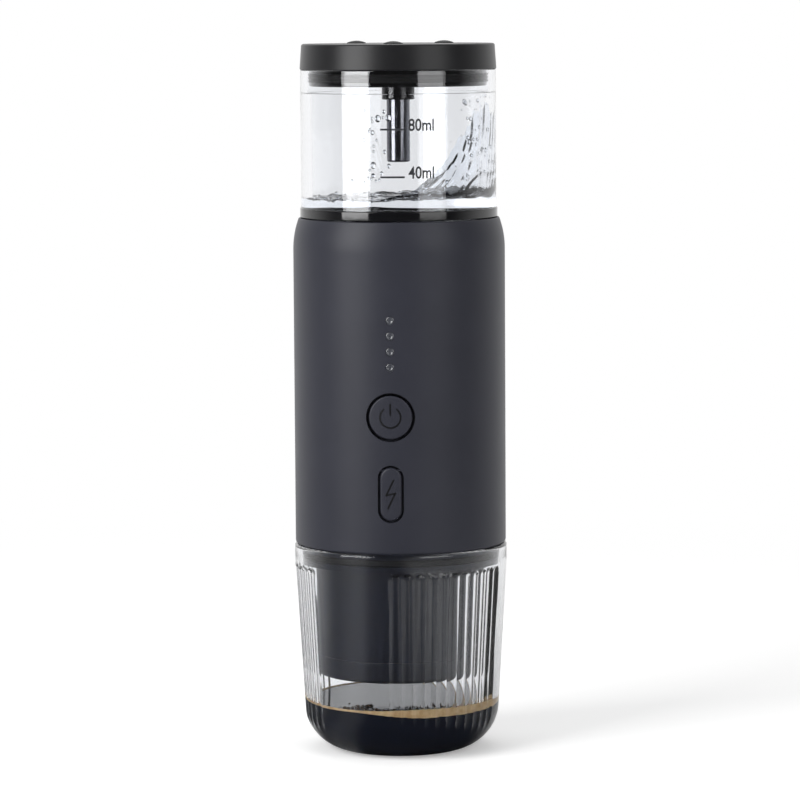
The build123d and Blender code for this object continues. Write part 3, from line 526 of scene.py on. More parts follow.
def lidPlug():
    floor = plugLow + plug["floor"]
    neckTop = lidLow + plug["neckHeight"]
    inGroove = plug["radius"] - plug["groove"]
    return turned("lid_plug", [
        (lid["vent"], floor), (plug["hollow"], floor), (plug["hollow"], neckTop), (plug["neck"], neckTop),
        (plug["neck"], lidLow), (plug["radius"], lidLow), (plug["radius"], sealHigh + seal["gap"]),
        (inGroove, sealHigh + seal["gap"]), (inGroove, sealLow - seal["gap"]),
        (plug["radius"], sealLow - seal["gap"]), (plug["radius"], plugLow), (plug["bossRadius"], plugLow),
        (plug["bossRadius"], bossLow), (plug["socketRadius"], bossLow),
        (plug["socketRadius"], bossLow + plug["socketDepth"]), (lid["vent"], bossLow + plug["socketDepth"]),
    ], {5: plug["shoulderRound"], 10: plug["footRound"], 12: plug["bossRound"]})


def lidSeal():
    inner = plug["radius"] - plug["groove"] + seal["gap"]
    step = (sealHigh - sealLow) / (2 * seal["lips"] - 1)
    outline = [(inner, sealHigh), (inner, sealLow)]
    rounds = {}
    for lip in range(seal["lips"]):
        low = sealLow + 2 * step * lip
        for z in (low, low + step):
            rounds[len(outline)] = seal["lipRound"]
            outline.append((sealRadius, z))
        if lip < seal["lips"] - 1:
            for z in (low + step, low + 2 * step):
                outline.append((sealRadius - seal["lip"], z))
    return turned("lid_seal", outline, rounds, arcSteps=seal["lipSteps"])


def breatherTube():
    radius, low, high = reach("breather_tube")
    bore = radius - tube["wall"]
    return turned("breather_tube", [(bore, low), (radius, low), (radius, high), (bore, high)],
                  {1: tube["outerRound"], 0: tube["boreRound"]}, steps=tube["steps"])


finishPiece(lidPlug(), "lid", "gloss_black_plastic", ["lid_plug"])
finishPiece(lidSeal(), "lid", "black_silicone", ["lid_seal"])
finishPiece(breatherTube(), "lid", "dark_chrome", ["breather_tube"])
print("lid done")


# water tank
tank = {"inner": 29.0, "mouth": 30.2, "mouthDepth": 7.7, "baseRadius": 31.05, "neck": 25.0, "neckDepth": 7.2,
        "deckGap": 0.3, "sump": 22.6, "sumpDepth": 5.4, "outlet": 4.0, "floor": 2.5, "floorRound": 0.6,
        "edgeRound": 0.35, "mouthRound": 0.12, "sumpRound": 0.3, "lugAngle": 90.0}
collar = {"wall": 1.9, "edgeRound": 0.4}
tankRadius, _, tankHigh = reach("water_tank")
_, collarLow, collarHigh = reach("tank_collar")
neckLow = reach("top_deck")[2] + tank["deckGap"] - tank["neckDepth"]
tankFloor = collarLow + tank["floor"]
sumpFloor = tankFloor - tank["sumpDepth"]


def waterTank():
    mouthLow = tankHigh - tank["mouthDepth"]
    underSump = sumpFloor - tank["floor"]
    piece = turned("water_tank", [
        (tank["outlet"], underSump), (tank["sump"], underSump),
        (tank["sump"], neckLow), (tank["neck"], neckLow), (tank["neck"], collarLow),
        (tank["baseRadius"], collarLow), (tank["baseRadius"], collarHigh), (tankRadius, collarHigh),
        (tankRadius, tankHigh), (tank["mouth"], tankHigh), (tank["mouth"], mouthLow),
        (tank["inner"], mouthLow), (tank["inner"], tankFloor), (tank["sump"], tankFloor),
        (tank["sump"], sumpFloor), (tank["outlet"], sumpFloor),
    ], {8: tank["edgeRound"], 9: tank["edgeRound"], 10: tank["mouthRound"], 11: tank["mouthRound"],
        12: tank["floorRound"], 13: tank["sumpRound"]})
    addLugs(piece, tank["sump"] + lugs["root"], tank["neck"] + lugs["reach"], neckLow, tank["lugAngle"])
    return piece


finishPiece(waterTank(), "tank", "clear_plastic", ["water_tank", "tank_base"])
finishPiece(plainRing("tank_collar", collar), "tank", "gloss_black_plastic", ["tank_collar"])


# printed marks on the front of the tank
marks = {"levels": {"40ml": 193.9, "80ml": 209.4}, "tickLength": 8.0, "tickHeight": 0.62, "tickAngle": 1.7,
         "tickCuts": 12, "digitHeight": 3.9, "sizePerHeight": 1.42, "narrow": 0.8, "bold": 0.08,
         "curveSteps": 6, "textDrop": 0.4, "textAngle": 18.6, "ink": 0.03}


# wraps a flat mark, drawn in the XZ plane about its own middle, round the tank at an angle right of the front
def wrapMark(piece, angle, z):
    radius = (tankRadius + marks["ink"] / 2) * mm

    def rule(p):
        turn = math.radians(frontAngle + angle) + p.x / radius
        out = radius - p.y
        return Vector((out * math.cos(turn), out * math.sin(turn), p.z + z * mm))

    reshape(piece, rule)


def tickMark(z):
    tick = block(marks["tickLength"], marks["ink"], marks["tickHeight"])
    bpy.ops.object.transform_apply(location=True, rotation=True, scale=True)
    bpy.ops.object.mode_set(mode="EDIT")
    edit = bmesh.from_edit_mesh(tick.data)
    for edge in edit.edges:
        edge.select = abs(edge.verts[0].co.x - edge.verts[1].co.x) > mm
    bmesh.update_edit_mesh(tick.data)
    bpy.ops.mesh.subdivide(number_cuts=marks["tickCuts"])
    bpy.ops.object.mode_set(mode="OBJECT")
    wrapMark(tick, marks["tickAngle"], z)
    return tick


def levelText(words, z):
    deselect()
    bpy.ops.object.text_add(rotation=(math.pi / 2, 0, 0))
    text = bpy.context.object
    text.data.body = words
    text.data.align_x = "CENTER"
    text.data.size = marks["digitHeight"] * mm * marks["sizePerHeight"]
    text.data.extrude = marks["ink"] * mm / 2
    text.data.offset = marks["bold"] * mm
    text.data.resolution_u = marks["curveSteps"]
    bpy.ops.object.convert(target="MESH")
    text = bpy.context.object
    text.scale.x = marks["narrow"]
    bpy.ops.object.transform_apply(location=True, rotation=True, scale=True)
    wrapMark(text, marks["textAngle"], z - marks["textDrop"])
    return text


def volumeMarks():
    made = []
    for words, z in marks["levels"].items():
        made.append(tickMark(z))
        made.append(levelText(words, z))
    made[0].name = "volume_marks"
    piece = joined(made)
    closeUp(piece)
    return piece


# screen ink: dark grey, dull, a little thin in places
finishes["mark_ink"] = mouldedFinish("grey_screen_ink", {
    "dark": "#1c1d21", "light": "#2a2b30", "rough": (0.5, 0.6),
    "driftMm": 0.8, "grainMm": 0.3, "bump": 0.05,
}, {"IOR": 1.45})
finishPiece(volumeMarks(), "tank", "mark_ink")
print("tank done")


# water in the tank, swirled so that a thin sheet runs up the right-hand wall
water = {"level": 186.0, "overlap": 0.05, "rings": 84, "steps": 400, "skin": 0.6, "surge": 28.0,
         "surgeFrom": -112.0, "surgeFull": -16.0, "surgeKeep": 18.0, "surgeTo": 80.0, "sheetPower": 26,
         "edge": 5.0, "edgeMm": 5.0, "fineEdgeMm": 1.8, "bank": 1.6, "bankPower": 3,
         "ripple": 0.85, "rippleMm": 8.0, "rippleSquash": 1.4, "rippleFiner": 2.3, "rippleLeast": 0.4,
         "fold": 0.7, "foldMm": 2.6, "foldRun": 16.0, "foldSkew": 0.12, "foldLeast": 0.6, "foldFrom": 0.3,
         "foldFull": 0.8, "streak": 0.45, "streakMm": 2.2, "streakRun": 14.0, "streakFrom": 2.0,
         "streakFull": 6.0}
# where in the noise each pattern is cut out, as listed
slices = {"ripple": (5, 2, 1), "fold": 3.7, "edge": (1.3, 7.1), "fineEdge": (4.3, 2.1), "streak": 9.2,
          "ragged": (0.7, 1.1), "fineRagged": (2.2, 5.0), "lump": 3.0}


def smooth(low, high, value):
    t = min(max((value - low) / (high - low), 0.0), 1.0)
    return t * t * (3 - 2 * t)


# surface height at a place in the tank: a bank toward the wall, a sheet up it, folds and ripples
def waterHeight(radius, angle):
    climb = smooth(water["surgeFrom"], water["surgeFull"], angle)
    fade = 1 - smooth(water["surgeKeep"], water["surgeTo"], angle)
    rise = climb * climb * fade
    share = radius / tank["inner"]
    along = math.radians(angle) * tank["inner"]
    ripplePlace = Vector((along, radius * water["rippleSquash"], 0)) / water["rippleMm"]
    finePlace = ripplePlace * water["rippleFiner"] + Vector(slices["ripple"])
    ripple = noise.noise(ripplePlace) + 0.5 * noise.noise(finePlace)
    edge = noise.noise(Vector((along / water["edgeMm"], *slices["edge"])))
    edge += 0.5 * noise.noise(Vector((along / water["fineEdgeMm"], *slices["fineEdge"])))
    sheet = (water["surge"] + water["edge"] * edge) * rise * share ** water["sheetPower"]
    bank = water["bank"] * climb * fade * share ** water["bankPower"]
    skewed = radius + along * water["foldSkew"]
    foldPlace = Vector((along / water["foldRun"], skewed / water["foldMm"], slices["fold"]))
    fold = water["fold"] * noise.noise(foldPlace)
    fold *= (water["foldLeast"] + climb) * smooth(water["foldFrom"], water["foldFull"], share)
    ripple *= water["ripple"] * (water["rippleLeast"] + (1 - water["rippleLeast"]) * share)
    return water["level"] + sheet + bank + fold + ripple


# ridges in the sheet, running along with its upper edge
def waterStreak(angle, z):
    climb = smooth(water["surgeFrom"], water["surgeFull"], angle)
    above = z - water["level"]
    drop = above - water["surge"] * climb * climb
    along = math.radians(angle) * tank["inner"]
    ridge = noise.noise(Vector((along / water["streakRun"], drop / water["streakMm"], slices["streak"])))
    return water["streak"] * (1 + ridge) * smooth(water["streakFrom"], water["streakFull"], above)


seamAngle = 230  # the seam lies at the back, on the left


def swirlAngle(angle):
    return (angle + seamAngle) % 360 - seamAngle


def waterBody():
    side = tank["inner"] + water["overlap"]
    sump = tank["sump"] + water["overlap"]
    low = sumpFloor - water["overlap"]
    ledge = tankFloor - water["overlap"]
    outline = [(0, low), (sump, low), (sump, ledge), (side, ledge), (side, water["level"])]
    for i in range(1, water["rings"] + 1):
        outline.append((side * (1 - (i / water["rings"]) ** 2), water["level"]))
    piece = turned("water_fill", outline, {3: tank["floorRound"]}, steps=water["steps"], ring=False)
    top = water["level"] * mm - hair

    def rule(p):
        if p.z < top:
            return p
        radius = math.hypot(p.x, p.y) / mm
        angle = swirlAngle(math.degrees(math.atan2(p.y, p.x)))
        z = waterHeight(min(radius, tank["inner"]), angle)
        inward = waterStreak(angle, z) * smooth(tank["inner"], tank["inner"] - water["skin"], radius)
        kept = (radius - inward) / radius if radius > tank["sump"] else 1.0
        return Vector((p.x * kept, p.y * kept, z * mm))

    reshape(piece, rule)
    return piece


# left, right and foamSpots are angles with their spread
drops = {"seed": 7, "cuts": 2, "wallDrops": 90, "foam": 130, "size": (0.22, 0.75), "sizePower": 3,
         "leftEvery": 3, "leftScale": 1.8, "left": (-102, 6), "right": (-28, 14), "low": 192.0, "rise": 28.0,
         "risePower": 1.3, "sunk": 0.3, "wallShape": (0.6, 1.0, 1.25),
         "foamSpots": ((-140, 22), (-75, 25), (110, 50)), "foamReach": 6.0, "foamPower": 2, "foamLift": 0.2,
         "foamShape": (1.0, 1.0, 0.9)}


# a random size, the small ones more often
def pickSize(pick, sizes, power):
    return sizes[0] + (sizes[1] - sizes[0]) * pick.random() ** power


# drops on the tank's wall and bubbles in the churned water: one ball, copied and flattened
def waterDrops():
    pick = random.Random(drops["seed"])
    deselect()
    bpy.ops.mesh.primitive_ico_sphere_add(subdivisions=drops["cuts"], radius=mm)
    first = bpy.context.object
    made = []
    for i in range(drops["wallDrops"] + drops["foam"]):
        size = pickSize(pick, drops["size"], drops["sizePower"])
        if i < drops["wallDrops"]:
            shape = drops["wallShape"]
            onLeft = i % drops["leftEvery"] == 0
            angle = pick.gauss(*drops["left" if onLeft else "right"])
            size *= drops["leftScale"] if onLeft else 1.0
            z = drops["low"] + drops["rise"] * pick.random() ** drops["risePower"]
            radius = tank["inner"] - size * drops["sunk"]
        else:
            shape = drops["foamShape"]
            angle = pick.choice([pick.gauss(*spot) for spot in drops["foamSpots"]])
            radius = tank["inner"] - size - drops["foamReach"] * pick.random() ** drops["foamPower"]
            z = waterHeight(radius, swirlAngle(angle)) + size * drops["foamLift"]
        turn = math.radians(angle)
        drop = copyOf(first, f"water_drop_{i}")
        drop.scale = [size * stretch for stretch in shape]
        made.append(settle(drop, (radius * math.cos(turn), radius * math.sin(turn), z), (0, 0, angle)))
    bpy.data.objects.remove(first)
    made[0].name = "water_drops"
    return joined(made)


# clean water: clear, bends what is behind it
finishes["water"] = clearFinish("still_water", {
    "tint": "#fafcff", "flowMm": 6.0, "rough": (0.0, 0.0), "bump": 0.03,
}, {"IOR": 1.333})
finishPiece(waterBody(), "tank", "water", sharp=50.0, liquid=True)
finishPiece(waterDrops(), "tank", "water", sharp=180.0, liquid=True)
print("water done")


# body shell
body = {"wall": 2.2, "edgeRound": 1.0, "topRound": 0.4, "shoulder": 10.4, "inset": 1.9, "arcSteps": 10,
        "overcut": 1.0}
button = {"radius": 7.15, "groove": 0.9, "wellDepth": 6.0, "edgeRound": 0.5, "loops": 5, "loopWidth": 1.2,
          "flange": 9.55, "flangeFront": -31.4, "flangeBack": -30.0, "stem": 2.2, "stemSides": 64,
          "overlap": 0.5, "stemOverlap": 0.3}
port = {"width": 7.2, "length": 17.6, "gap": 0.7, "depth": 2.2, "thickness": 2.0, "edgeRound": 0.8,
        "backRound": 0.62, "flatBack": 0.9, "loops": 2, "loopWidth": 0.9, "bossWall": 1.8, "bossBack": -31.0,
        "bossSink": 0.6, "socketWidth": 3.46, "socketLength": 9.14}
portPlug = {"width": 1.7, "length": 6.4, "depth": 1.0, "overlap": 0.3}
hinge = {"radius": 0.4, "half": 3.98, "y": -34.35, "z": 98.05, "slip": 0.08, "sides": 24}
light = {"radius": 1.4, "pitch": 5.13, "count": 4, "slip": 0.05, "holeDepth": 2.0, "sides": 40}


# height of a CAD node's middle, and its back, in mm
def middleAndBack(node):
    low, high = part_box(node)
    return (low.z + high.z) / 2 / mm, high.y / mm


bodyRadius, bodyLow, bodyHigh = reach("body_shell")
bodyInner = bodyRadius - body["wall"]
cutFront = -bodyRadius - body["overcut"]
buttonZ, buttonBack = middleAndBack("power_button")
portZ, _ = middleAndBack("port_cover")
lightZ, lightBack = middleAndBack("light_guide")
lightHeights = [lightZ + light["pitch"] * (i - (light["count"] - 1) / 2) for i in range(light["count"])]


# points up a shoulder that curves in from a radius, by the arc that is tangent to the straight wall
def shoulderArc(radius):
    rise = body["shoulder"]
    curve = (body["inset"] ** 2 + rise ** 2) / (2 * body["inset"])
    sweep = math.asin(rise / curve)
    start = bodyHigh - rise
    points = []
    for i in range(body["arcSteps"] + 1):
        angle = sweep * i / body["arcSteps"]
        points.append((radius - curve * (1 - math.cos(angle)), start + curve * math.sin(angle)))
    return points


# the port cover's two hinge pins as one bar; with some slip it cuts their holes in the shell
def hingeBar(name, slip):
    deselect()
    bpy.ops.mesh.primitive_cylinder_add(vertices=hinge["sides"], radius=(hinge["radius"] + slip) * mm,
                                        depth=2 * (hinge["half"] + slip) * mm)
    piece = bpy.context.object
    piece.name = name
    return settle(piece, (0, hinge["y"], hinge["z"]), (0, 90, 0))


def bodyShell():
    outline = [(bodyInner, bodyLow), (bodyRadius, bodyLow)]
    outline += shoulderArc(bodyRadius) + shoulderArc(bodyInner)[::-1]
    top = 2 + body["arcSteps"]
    piece = turned("body_shell", outline, {1: body["edgeRound"], top: body["topRound"]})
    pocketWidth = port["width"] + 2 * port["gap"]
    pocketLength = port["length"] + 2 * port["gap"]
    boss = frontPrism("port_boss", pocketWidth + 2 * port["bossWall"], pocketLength + 2 * port["bossWall"],
                      port["bossBack"], -bodyInner - port["bossSink"], portZ)
    combined(piece, boss, "UNION")
    cuts = [
        frontDisc("button_hole", button["radius"] + button["groove"], button["wellDepth"] - bodyInner,
                  cutFront, buttonZ),
        frontPrism("port_pocket", pocketWidth, pocketLength, port["depth"] - bodyRadius, cutFront, portZ),
        frontPrism("socket_window", port["socketWidth"], port["socketLength"],
                   port["bossBack"] + body["overcut"], cutFront, portZ),
        hingeBar("pin_holes", hinge["slip"]),
    ]
    for z in lightHeights:
        cuts.append(frontDisc("light_hole", light["radius"] + light["slip"], light["holeDepth"] - bodyInner,
                              cutFront, z, light["sides"]))
    for cut in cuts:
        combined(piece, cut, "DIFFERENCE")
    return piece


finishPiece(bodyShell(), "machine", "charcoal_plastic", ["body_shell"])


# power button with a plain power sign
def powerButton():
    piece = frontDisc("power_button", button["radius"], button["flangeFront"] + button["overlap"],
                      -bodyRadius, buttonZ)
    crownFront(piece, button["edgeRound"], button["loops"], button["loopWidth"])
    wrapFront(piece, bodyRadius, button["flangeFront"])
    flange = frontDisc("button_flange", button["flange"], button["flangeBack"], button["flangeFront"],
                       buttonZ)
    stem = frontDisc("button_stem", button["stem"], buttonBack, button["flangeBack"] - button["stemOverlap"],
                     buttonZ, button["stemSides"])
    combined(piece, flange, "UNION")
    combined(piece, stem, "UNION")
    return piece


sign = {"radius": 3.4, "line": 0.55, "gapAngle": 70.0, "barLow": 0.8, "barHigh": 4.3, "sunk": 0.25,
        "proud": 0.02, "steps": 48, "barCuts": 10}
signDepth = sign["sunk"] + sign["proud"]
signY = sign["sunk"] - signDepth / 2 - bodyRadius


# a thin bar on the front, between two points given as (x, z) from the middle of its button or cover, in mm
def signBar(start, end, z):
    span = Vector((end[0] - start[0], end[1] - start[1]))
    bar = block(sign["line"], signDepth, span.length + sign["line"])
    bpy.ops.object.mode_set(mode="EDIT")
    bpy.ops.mesh.subdivide(number_cuts=sign["barCuts"])
    bpy.ops.object.mode_set(mode="OBJECT")
    middle = ((start[0] + end[0]) / 2, signY, z + (start[1] + end[1]) / 2)
    return settle(bar, middle, (0, math.degrees(math.atan2(span.x, span.y)), 0))


def powerSign():
    deselect()
    bpy.ops.mesh.primitive_plane_add(size=mm)
    ring = bpy.context.object
    ring.name = "power_sign"
    ring.dimensions = (sign["line"] * mm, signDepth * mm, 0)
    settle(ring, (sign["radius"], signY, 0))
    bpy.ops.object.mode_set(mode="EDIT")
    bpy.ops.mesh.select_all(action="SELECT")
    bpy.ops.mesh.spin(steps=sign["steps"], angle=math.radians(360 - sign["gapAngle"]),
                      center=(0, -bodyRadius * mm, 0), axis=(0, 1, 0))
    closeUp(ring)
    settle(ring, (0, 0, buttonZ), (0, -90 - sign["gapAngle"] / 2, 0))
    bar = signBar((0, sign["barLow"]), (0, sign["barHigh"]), buttonZ)
    piece = joined([ring, bar])
    wrapFront(piece, bodyRadius)
    return piece


# pad-printed signs: a shade darker than the plastic and a little shinier
finishes["sign_ink"] = mouldedFinish("dark_pad_print", {
    "dark": "#060607", "light": "#0b0b0d", "rough": (0.3, 0.4),
    "driftMm": 0.8, "grainMm": 0.3, "bump": 0.05,
}, {"IOR": 1.5})
finishPiece(powerButton(), "button", "charcoal_plastic", ["power_button"])
finishPiece(powerSign(), "button", "sign_ink")


# charging-port cover
def portCover():
    back = port["thickness"] - bodyRadius
    piece = frontPrism("port_cover", port["width"], port["length"], back, -bodyRadius, portZ)
    roundEnd(piece, port["backRound"], 1)
    crownFront(piece, port["edgeRound"], port["loops"], port["loopWidth"])
    wrapFront(piece, bodyRadius, back - port["flatBack"])
    socketPlug = frontPrism("port_plug", portPlug["width"], portPlug["length"], back + portPlug["depth"],
                            back - portPlug["overlap"], portZ)
    combined(piece, socketPlug, "UNION")
    combined(piece, hingeBar("port_pins", 0.0), "UNION")
    return piece


bolt = [(0.9, 4.6), (-1.5, -0.35), (1.5, 0.35), (-0.9, -4.6)]  # a plain lightning bolt, in mm from the middle


def chargeSign():
    bars = [signBar(start, end, portZ) for start, end in zip(bolt, bolt[1:])]
    piece = joined(bars)
    piece.name = "charge_sign"
    wrapFront(piece, bodyRadius)
    return piece


finishPiece(portCover(), "charging_cover", "charcoal_plastic", ["port_cover"])
finishPiece(chargeSign(), "charging_cover", "sign_ink")


# indicator lights: four dished lenses on the bar of their light guide
lens = {"dish": 0.55, "rim": 0.9, "rimRound": 0.12, "chamfer": 0.15, "sunk": 0.1, "steps": 48,
        "barWidth": 3.0, "barThickness": 1.5, "barGap": 0.2}


def lightGuide():
    depth = bodyRadius - lens["sunk"] + lightBack
    radius = light["radius"]
    first = turned("light_lens", [
        (0, 0), (radius, 0), (radius, depth - lens["chamfer"]), (lens["rim"] + lens["chamfer"], depth),
        (lens["rim"], depth), (0, depth - lens["dish"]),
    ], {3: lens["rimRound"], 4: lens["rimRound"]}, steps=lens["steps"], ring=False)
    lenses = copiesAt(first, [(0, lightBack, z) for z in lightHeights], (90, 0, 0))
    barLength = light["pitch"] * (light["count"] - 1) + lens["barWidth"]
    bar = block(lens["barWidth"], lens["barThickness"], barLength)
    settle(bar, (0, lens["barThickness"] / 2 + lens["barGap"] - bodyInner, lightZ))
    for piece in lenses:
        combined(bar, piece, "UNION")
    bar.name = "light_guide"
    return bar


finishPiece(lightGuide(), "machine", "light_guide_plastic", ["light_guide"])
print("body done")


# cup
cup = {"wall": 2.3, "floor": 2.2, "baseRadius": 32.0, "baseCurve": 15.0, "band": 5.5, "rimRound": 1.1,
       "recess": 14.0, "recessDepth": 0.8, "recessRound": 0.3, "recessEdge": 1.0, "skin": 0.3, "groups": 3,
       "perGroup": 11, "pitch": 6.6, "groupAngle": -55.0, "fluteRadius": 3.2, "fluteDepth": 0.9, "steps": 600,
       "arcSteps": 12, "straightFrom": 18.0, "straightRows": 8, "archRows": 10}
cupRadius, _, cupHigh = reach("drinking_cup")
cupMouth = cupRadius - cup["wall"]
bandLow = cupHigh - cup["band"]
cupSlope = (cupRadius - cup["baseRadius"]) / bandLow


# radius of the cup's straight outer wall at a height
def cupLine(z):
    return cup["baseRadius"] + cupSlope * min(z, bandLow)


# how deep the flutes bite at an angle and height
def fluteBite(angle, z, radius):
    first = cup["groupAngle"] - cup["pitch"] * (cup["perGroup"] - 1) / 2
    turn = (angle - first + cup["pitch"] / 2) % (360 / cup["groups"])
    if turn > cup["pitch"] * cup["perGroup"]:
        return 0.0
    across = math.radians(turn % cup["pitch"] - cup["pitch"] / 2) * radius
    above = max(0.0, z - (bandLow - cup["fluteRadius"]))
    inside = cup["fluteRadius"] ** 2 - across ** 2 - above ** 2
    if inside <= 0:
        return 0.0
    return max(0.0, math.sqrt(inside) - cup["fluteRadius"] + cup["fluteDepth"])


def drinkingCup():
    low = cup["straightFrom"]
    archLow = bandLow - cup["fluteRadius"]
    rows = [low + (archLow - low) * i / cup["straightRows"] for i in range(cup["straightRows"] + 1)]
    for i in range(1, cup["archRows"]):
        rows.append(archLow + cup["fluteRadius"] * math.sin(math.pi / 2 * i / cup["archRows"]))
    floorRadius = cupLine(cup["floor"]) - cup["wall"]
    outline = [(0, cup["recessDepth"]), (cup["recess"], cup["recessDepth"]), (cup["recess"], 0),
               (cup["baseRadius"], 0)]
    outline += [(cupLine(z), z) for z in rows]
    rim = len(outline) + 1
    outline += [(cupRadius, bandLow), (cupRadius, cupHigh), (cupMouth, cupHigh), (cupMouth, bandLow),
                (floorRadius, cup["floor"]), (0, cup["floor"])]
    rounds = {3: cup["baseCurve"], rim: cup["rimRound"], rim + 1: cup["rimRound"],
              rim + 3: cup["baseCurve"] - cup["wall"], 1: cup["recessRound"], 2: cup["recessRound"]}
    piece = turned("drinking_cup", outline, rounds, steps=cup["steps"], arcSteps=cup["arcSteps"], ring=False)
    settle(piece, turn=(0, 0, cup["groupAngle"] + cup["pitch"] / 2))

    def rule(p):
        z = p.z / mm
        radius = math.hypot(p.x, p.y) / mm
        inside = radius < cupLine(z) - cup["wall"] + cup["skin"] and z > cup["floor"]
        if z > bandLow or inside or radius < cup["recess"] + cup["recessEdge"]:
            return p
        bite = fluteBite(math.degrees(math.atan2(p.y, p.x)), z, radius)
        kept = min(radius, cupLine(z) - bite) if bite > 0 else radius
        return Vector((p.x * kept / radius, p.y * kept / radius, p.z))

    reshape(piece, rule)
    return piece


# the same plastic with a breath of grey, as the cup has
finishes["cup_plastic"] = clearFinish("clear_copolyester_cup", {
    "tint": "#f5f6f8", "flowMm": 14.0, "rough": (0.0, 0.015), "bump": 0.05,
}, {"IOR": 1.5})
finishPiece(drinkingCup(), "cup", "cup_plastic", ["drinking_cup"], sharp=28.0)


# coffee with its crema
coffee = {"level": 17.0, "overlap": 0.05, "rings": 40, "ringPower": 0.8, "steps": 256, "arcSteps": 16,
          "climb": 0.25, "roundLess": 0.2}
crema = {"thick": 2.0, "thin": 0.45, "depthSway": (0.8, 0.4), "width": 4.5, "narrow": 0.9,
         "widthSway": (0.6, 0.8), "raggedMm": 3.5, "ragged": 0.35, "fineRagged": 0.2, "heap": 0.5,
         "heapLeast": 0.4, "lump": 0.25, "lumpMm": 1.1, "lift": 0.06, "undercut": 0.9, "fullAngle": -48.0,
         "spread": 70.0, "fadeFrom": 0.3, "rings": 14, "steps": 420, "overlap": 0.09}
# spots are angles with their spread
foam = {"seed": 11, "count": 110, "size": (0.25, 0.95), "sizePower": 2,
        "spots": ((-118, 9), (-95, 10), (-62, 18)), "wallGap": 2.0, "reach": 8.0, "reachPower": 1.5,
        "flat": 0.8, "under": 0.1, "segments": 12, "rings": 10}


def cupInside(z):
    return cupLine(z) - cup["wall"]


def coffeeBody():
    low = cup["floor"] - coffee["overlap"]
    top = coffee["level"] + coffee["climb"]
    side = cupInside(top) + coffee["overlap"]
    outline = [(0, low), (cupInside(cup["floor"]) + coffee["overlap"], low), (side, top)]
    for i in range(1, coffee["rings"] + 1):
        outline.append((side * (1 - i / coffee["rings"]) ** coffee["ringPower"], coffee["level"]))
    return turned("coffee_fill", outline, {1: cup["baseCurve"] - cup["wall"] - coffee["roundLess"]},
                  steps=coffee["steps"], arcSteps=coffee["arcSteps"], ring=False)


# 1 where the crema lies thickest, 0 on the far side
def cremaShare(angle):
    away = abs((angle - crema["fullAngle"] + 180) % 360 - 180)
    return 1 - smooth(crema["fadeFrom"], 1.0, away / crema["spread"])


# a ring of foam on the coffee along the wall: its width, depth and heaped top change round the cup
def cremaRing():
    side = cupInside(coffee["level"]) + crema["overlap"]
    outline = [(side - i / crema["rings"], 1.0) for i in range(crema["rings"] + 1)]
    outline += [(side - 1.0, 0.0), (side, 0.0)]
    piece = turned("crema_ring", outline, steps=crema["steps"])

    def rule(p):
        angle = math.degrees(math.atan2(p.y, p.x))
        radius = math.hypot(p.x, p.y) / mm
        share = cremaShare(angle)
        along = math.radians(angle) * side
        coarse = noise.noise(Vector((along / crema["raggedMm"], *slices["ragged"])))
        fine = noise.noise(Vector((along, *slices["fineRagged"])))
        ragged = 0.5 + coarse * crema["ragged"] + fine * crema["fineRagged"]
        least, more = crema["widthSway"]
        width = crema["narrow"] + (crema["width"] - crema["narrow"]) * share * (least + more * ragged)
        least, more = crema["depthSway"]
        depth = crema["thin"] + (crema["thick"] - crema["thin"]) * share * (least + more * ragged)
        inward = side - radius
        kept = side - inward * width
        lumpPlace = Vector((along / crema["lumpMm"], kept / crema["lumpMm"], slices["lump"]))
        lump = noise.noise(lumpPlace) * crema["lump"]
        crown = crema["heap"] * (1 - inward) * (crema["heapLeast"] + share) + lump * (1 - inward)
        onTop = p.z > mm / 2
        z = coffee["level"] + (crema["lift"] + crown if onTop else -depth * (1 - crema["undercut"] * inward))
        out = (kept + (z - coffee["level"]) * cupSlope) / radius
        return Vector((p.x * out, p.y * out, z * mm))

    reshape(piece, rule)
    return piece


# bubbles left on the coffee: one half ball, copied at many sizes
def coffeeBubbles():
    pick = random.Random(foam["seed"])
    deselect()
    bpy.ops.mesh.primitive_uv_sphere_add(segments=foam["segments"], ring_count=foam["rings"], radius=mm)
    first = bpy.context.object
    bpy.ops.object.mode_set(mode="EDIT")
    bpy.ops.mesh.select_all(action="SELECT")
    bpy.ops.mesh.bisect(plane_co=(0, 0, -foam["under"] * mm), plane_no=(0, 0, 1), clear_inner=True,
                        use_fill=True)
    bpy.ops.object.mode_set(mode="OBJECT")
    made = []
    for i in range(foam["count"]):
        size = pickSize(pick, foam["size"], foam["sizePower"])
        turn = math.radians(pick.choice([pick.gauss(*spot) for spot in foam["spots"]]))
        radius = cupInside(coffee["level"]) - size - foam["wallGap"]
        radius -= foam["reach"] * pick.random() ** foam["reachPower"]
        bubble = copyOf(first, f"coffee_bubble_{i}")
        bubble.scale = (size, size, size * foam["flat"])
        made.append(settle(bubble, (radius * math.cos(turn), radius * math.sin(turn), coffee["level"])))
    bpy.data.objects.remove(first)
    made[0].name = "coffee_bubbles"
    return joined(made)


# black coffee: opaque, mirror-smooth on top
finishes["coffee"] = mouldedFinish("black_coffee", {
    "dark": "#10141f", "light": "#151a27", "rough": (0.04, 0.08),
    "driftMm": 12.0, "grainMm": 4.0, "bump": 0.03,
}, {"IOR": 1.34})
# crema: hazel foam, dull, mottled by its fine bubbles
finishes["crema"] = mouldedFinish("coffee_crema", {
    "dark": "#a5733f", "light": "#f0dcae", "rough": (0.4, 0.6),
    "driftMm": 2.4, "grainMm": 0.4, "bump": 0.4,
}, {"IOR": 1.35, "Subsurface Weight": 0.2, "Subsurface Radius": (0.002, 0.001, 0.0005)})
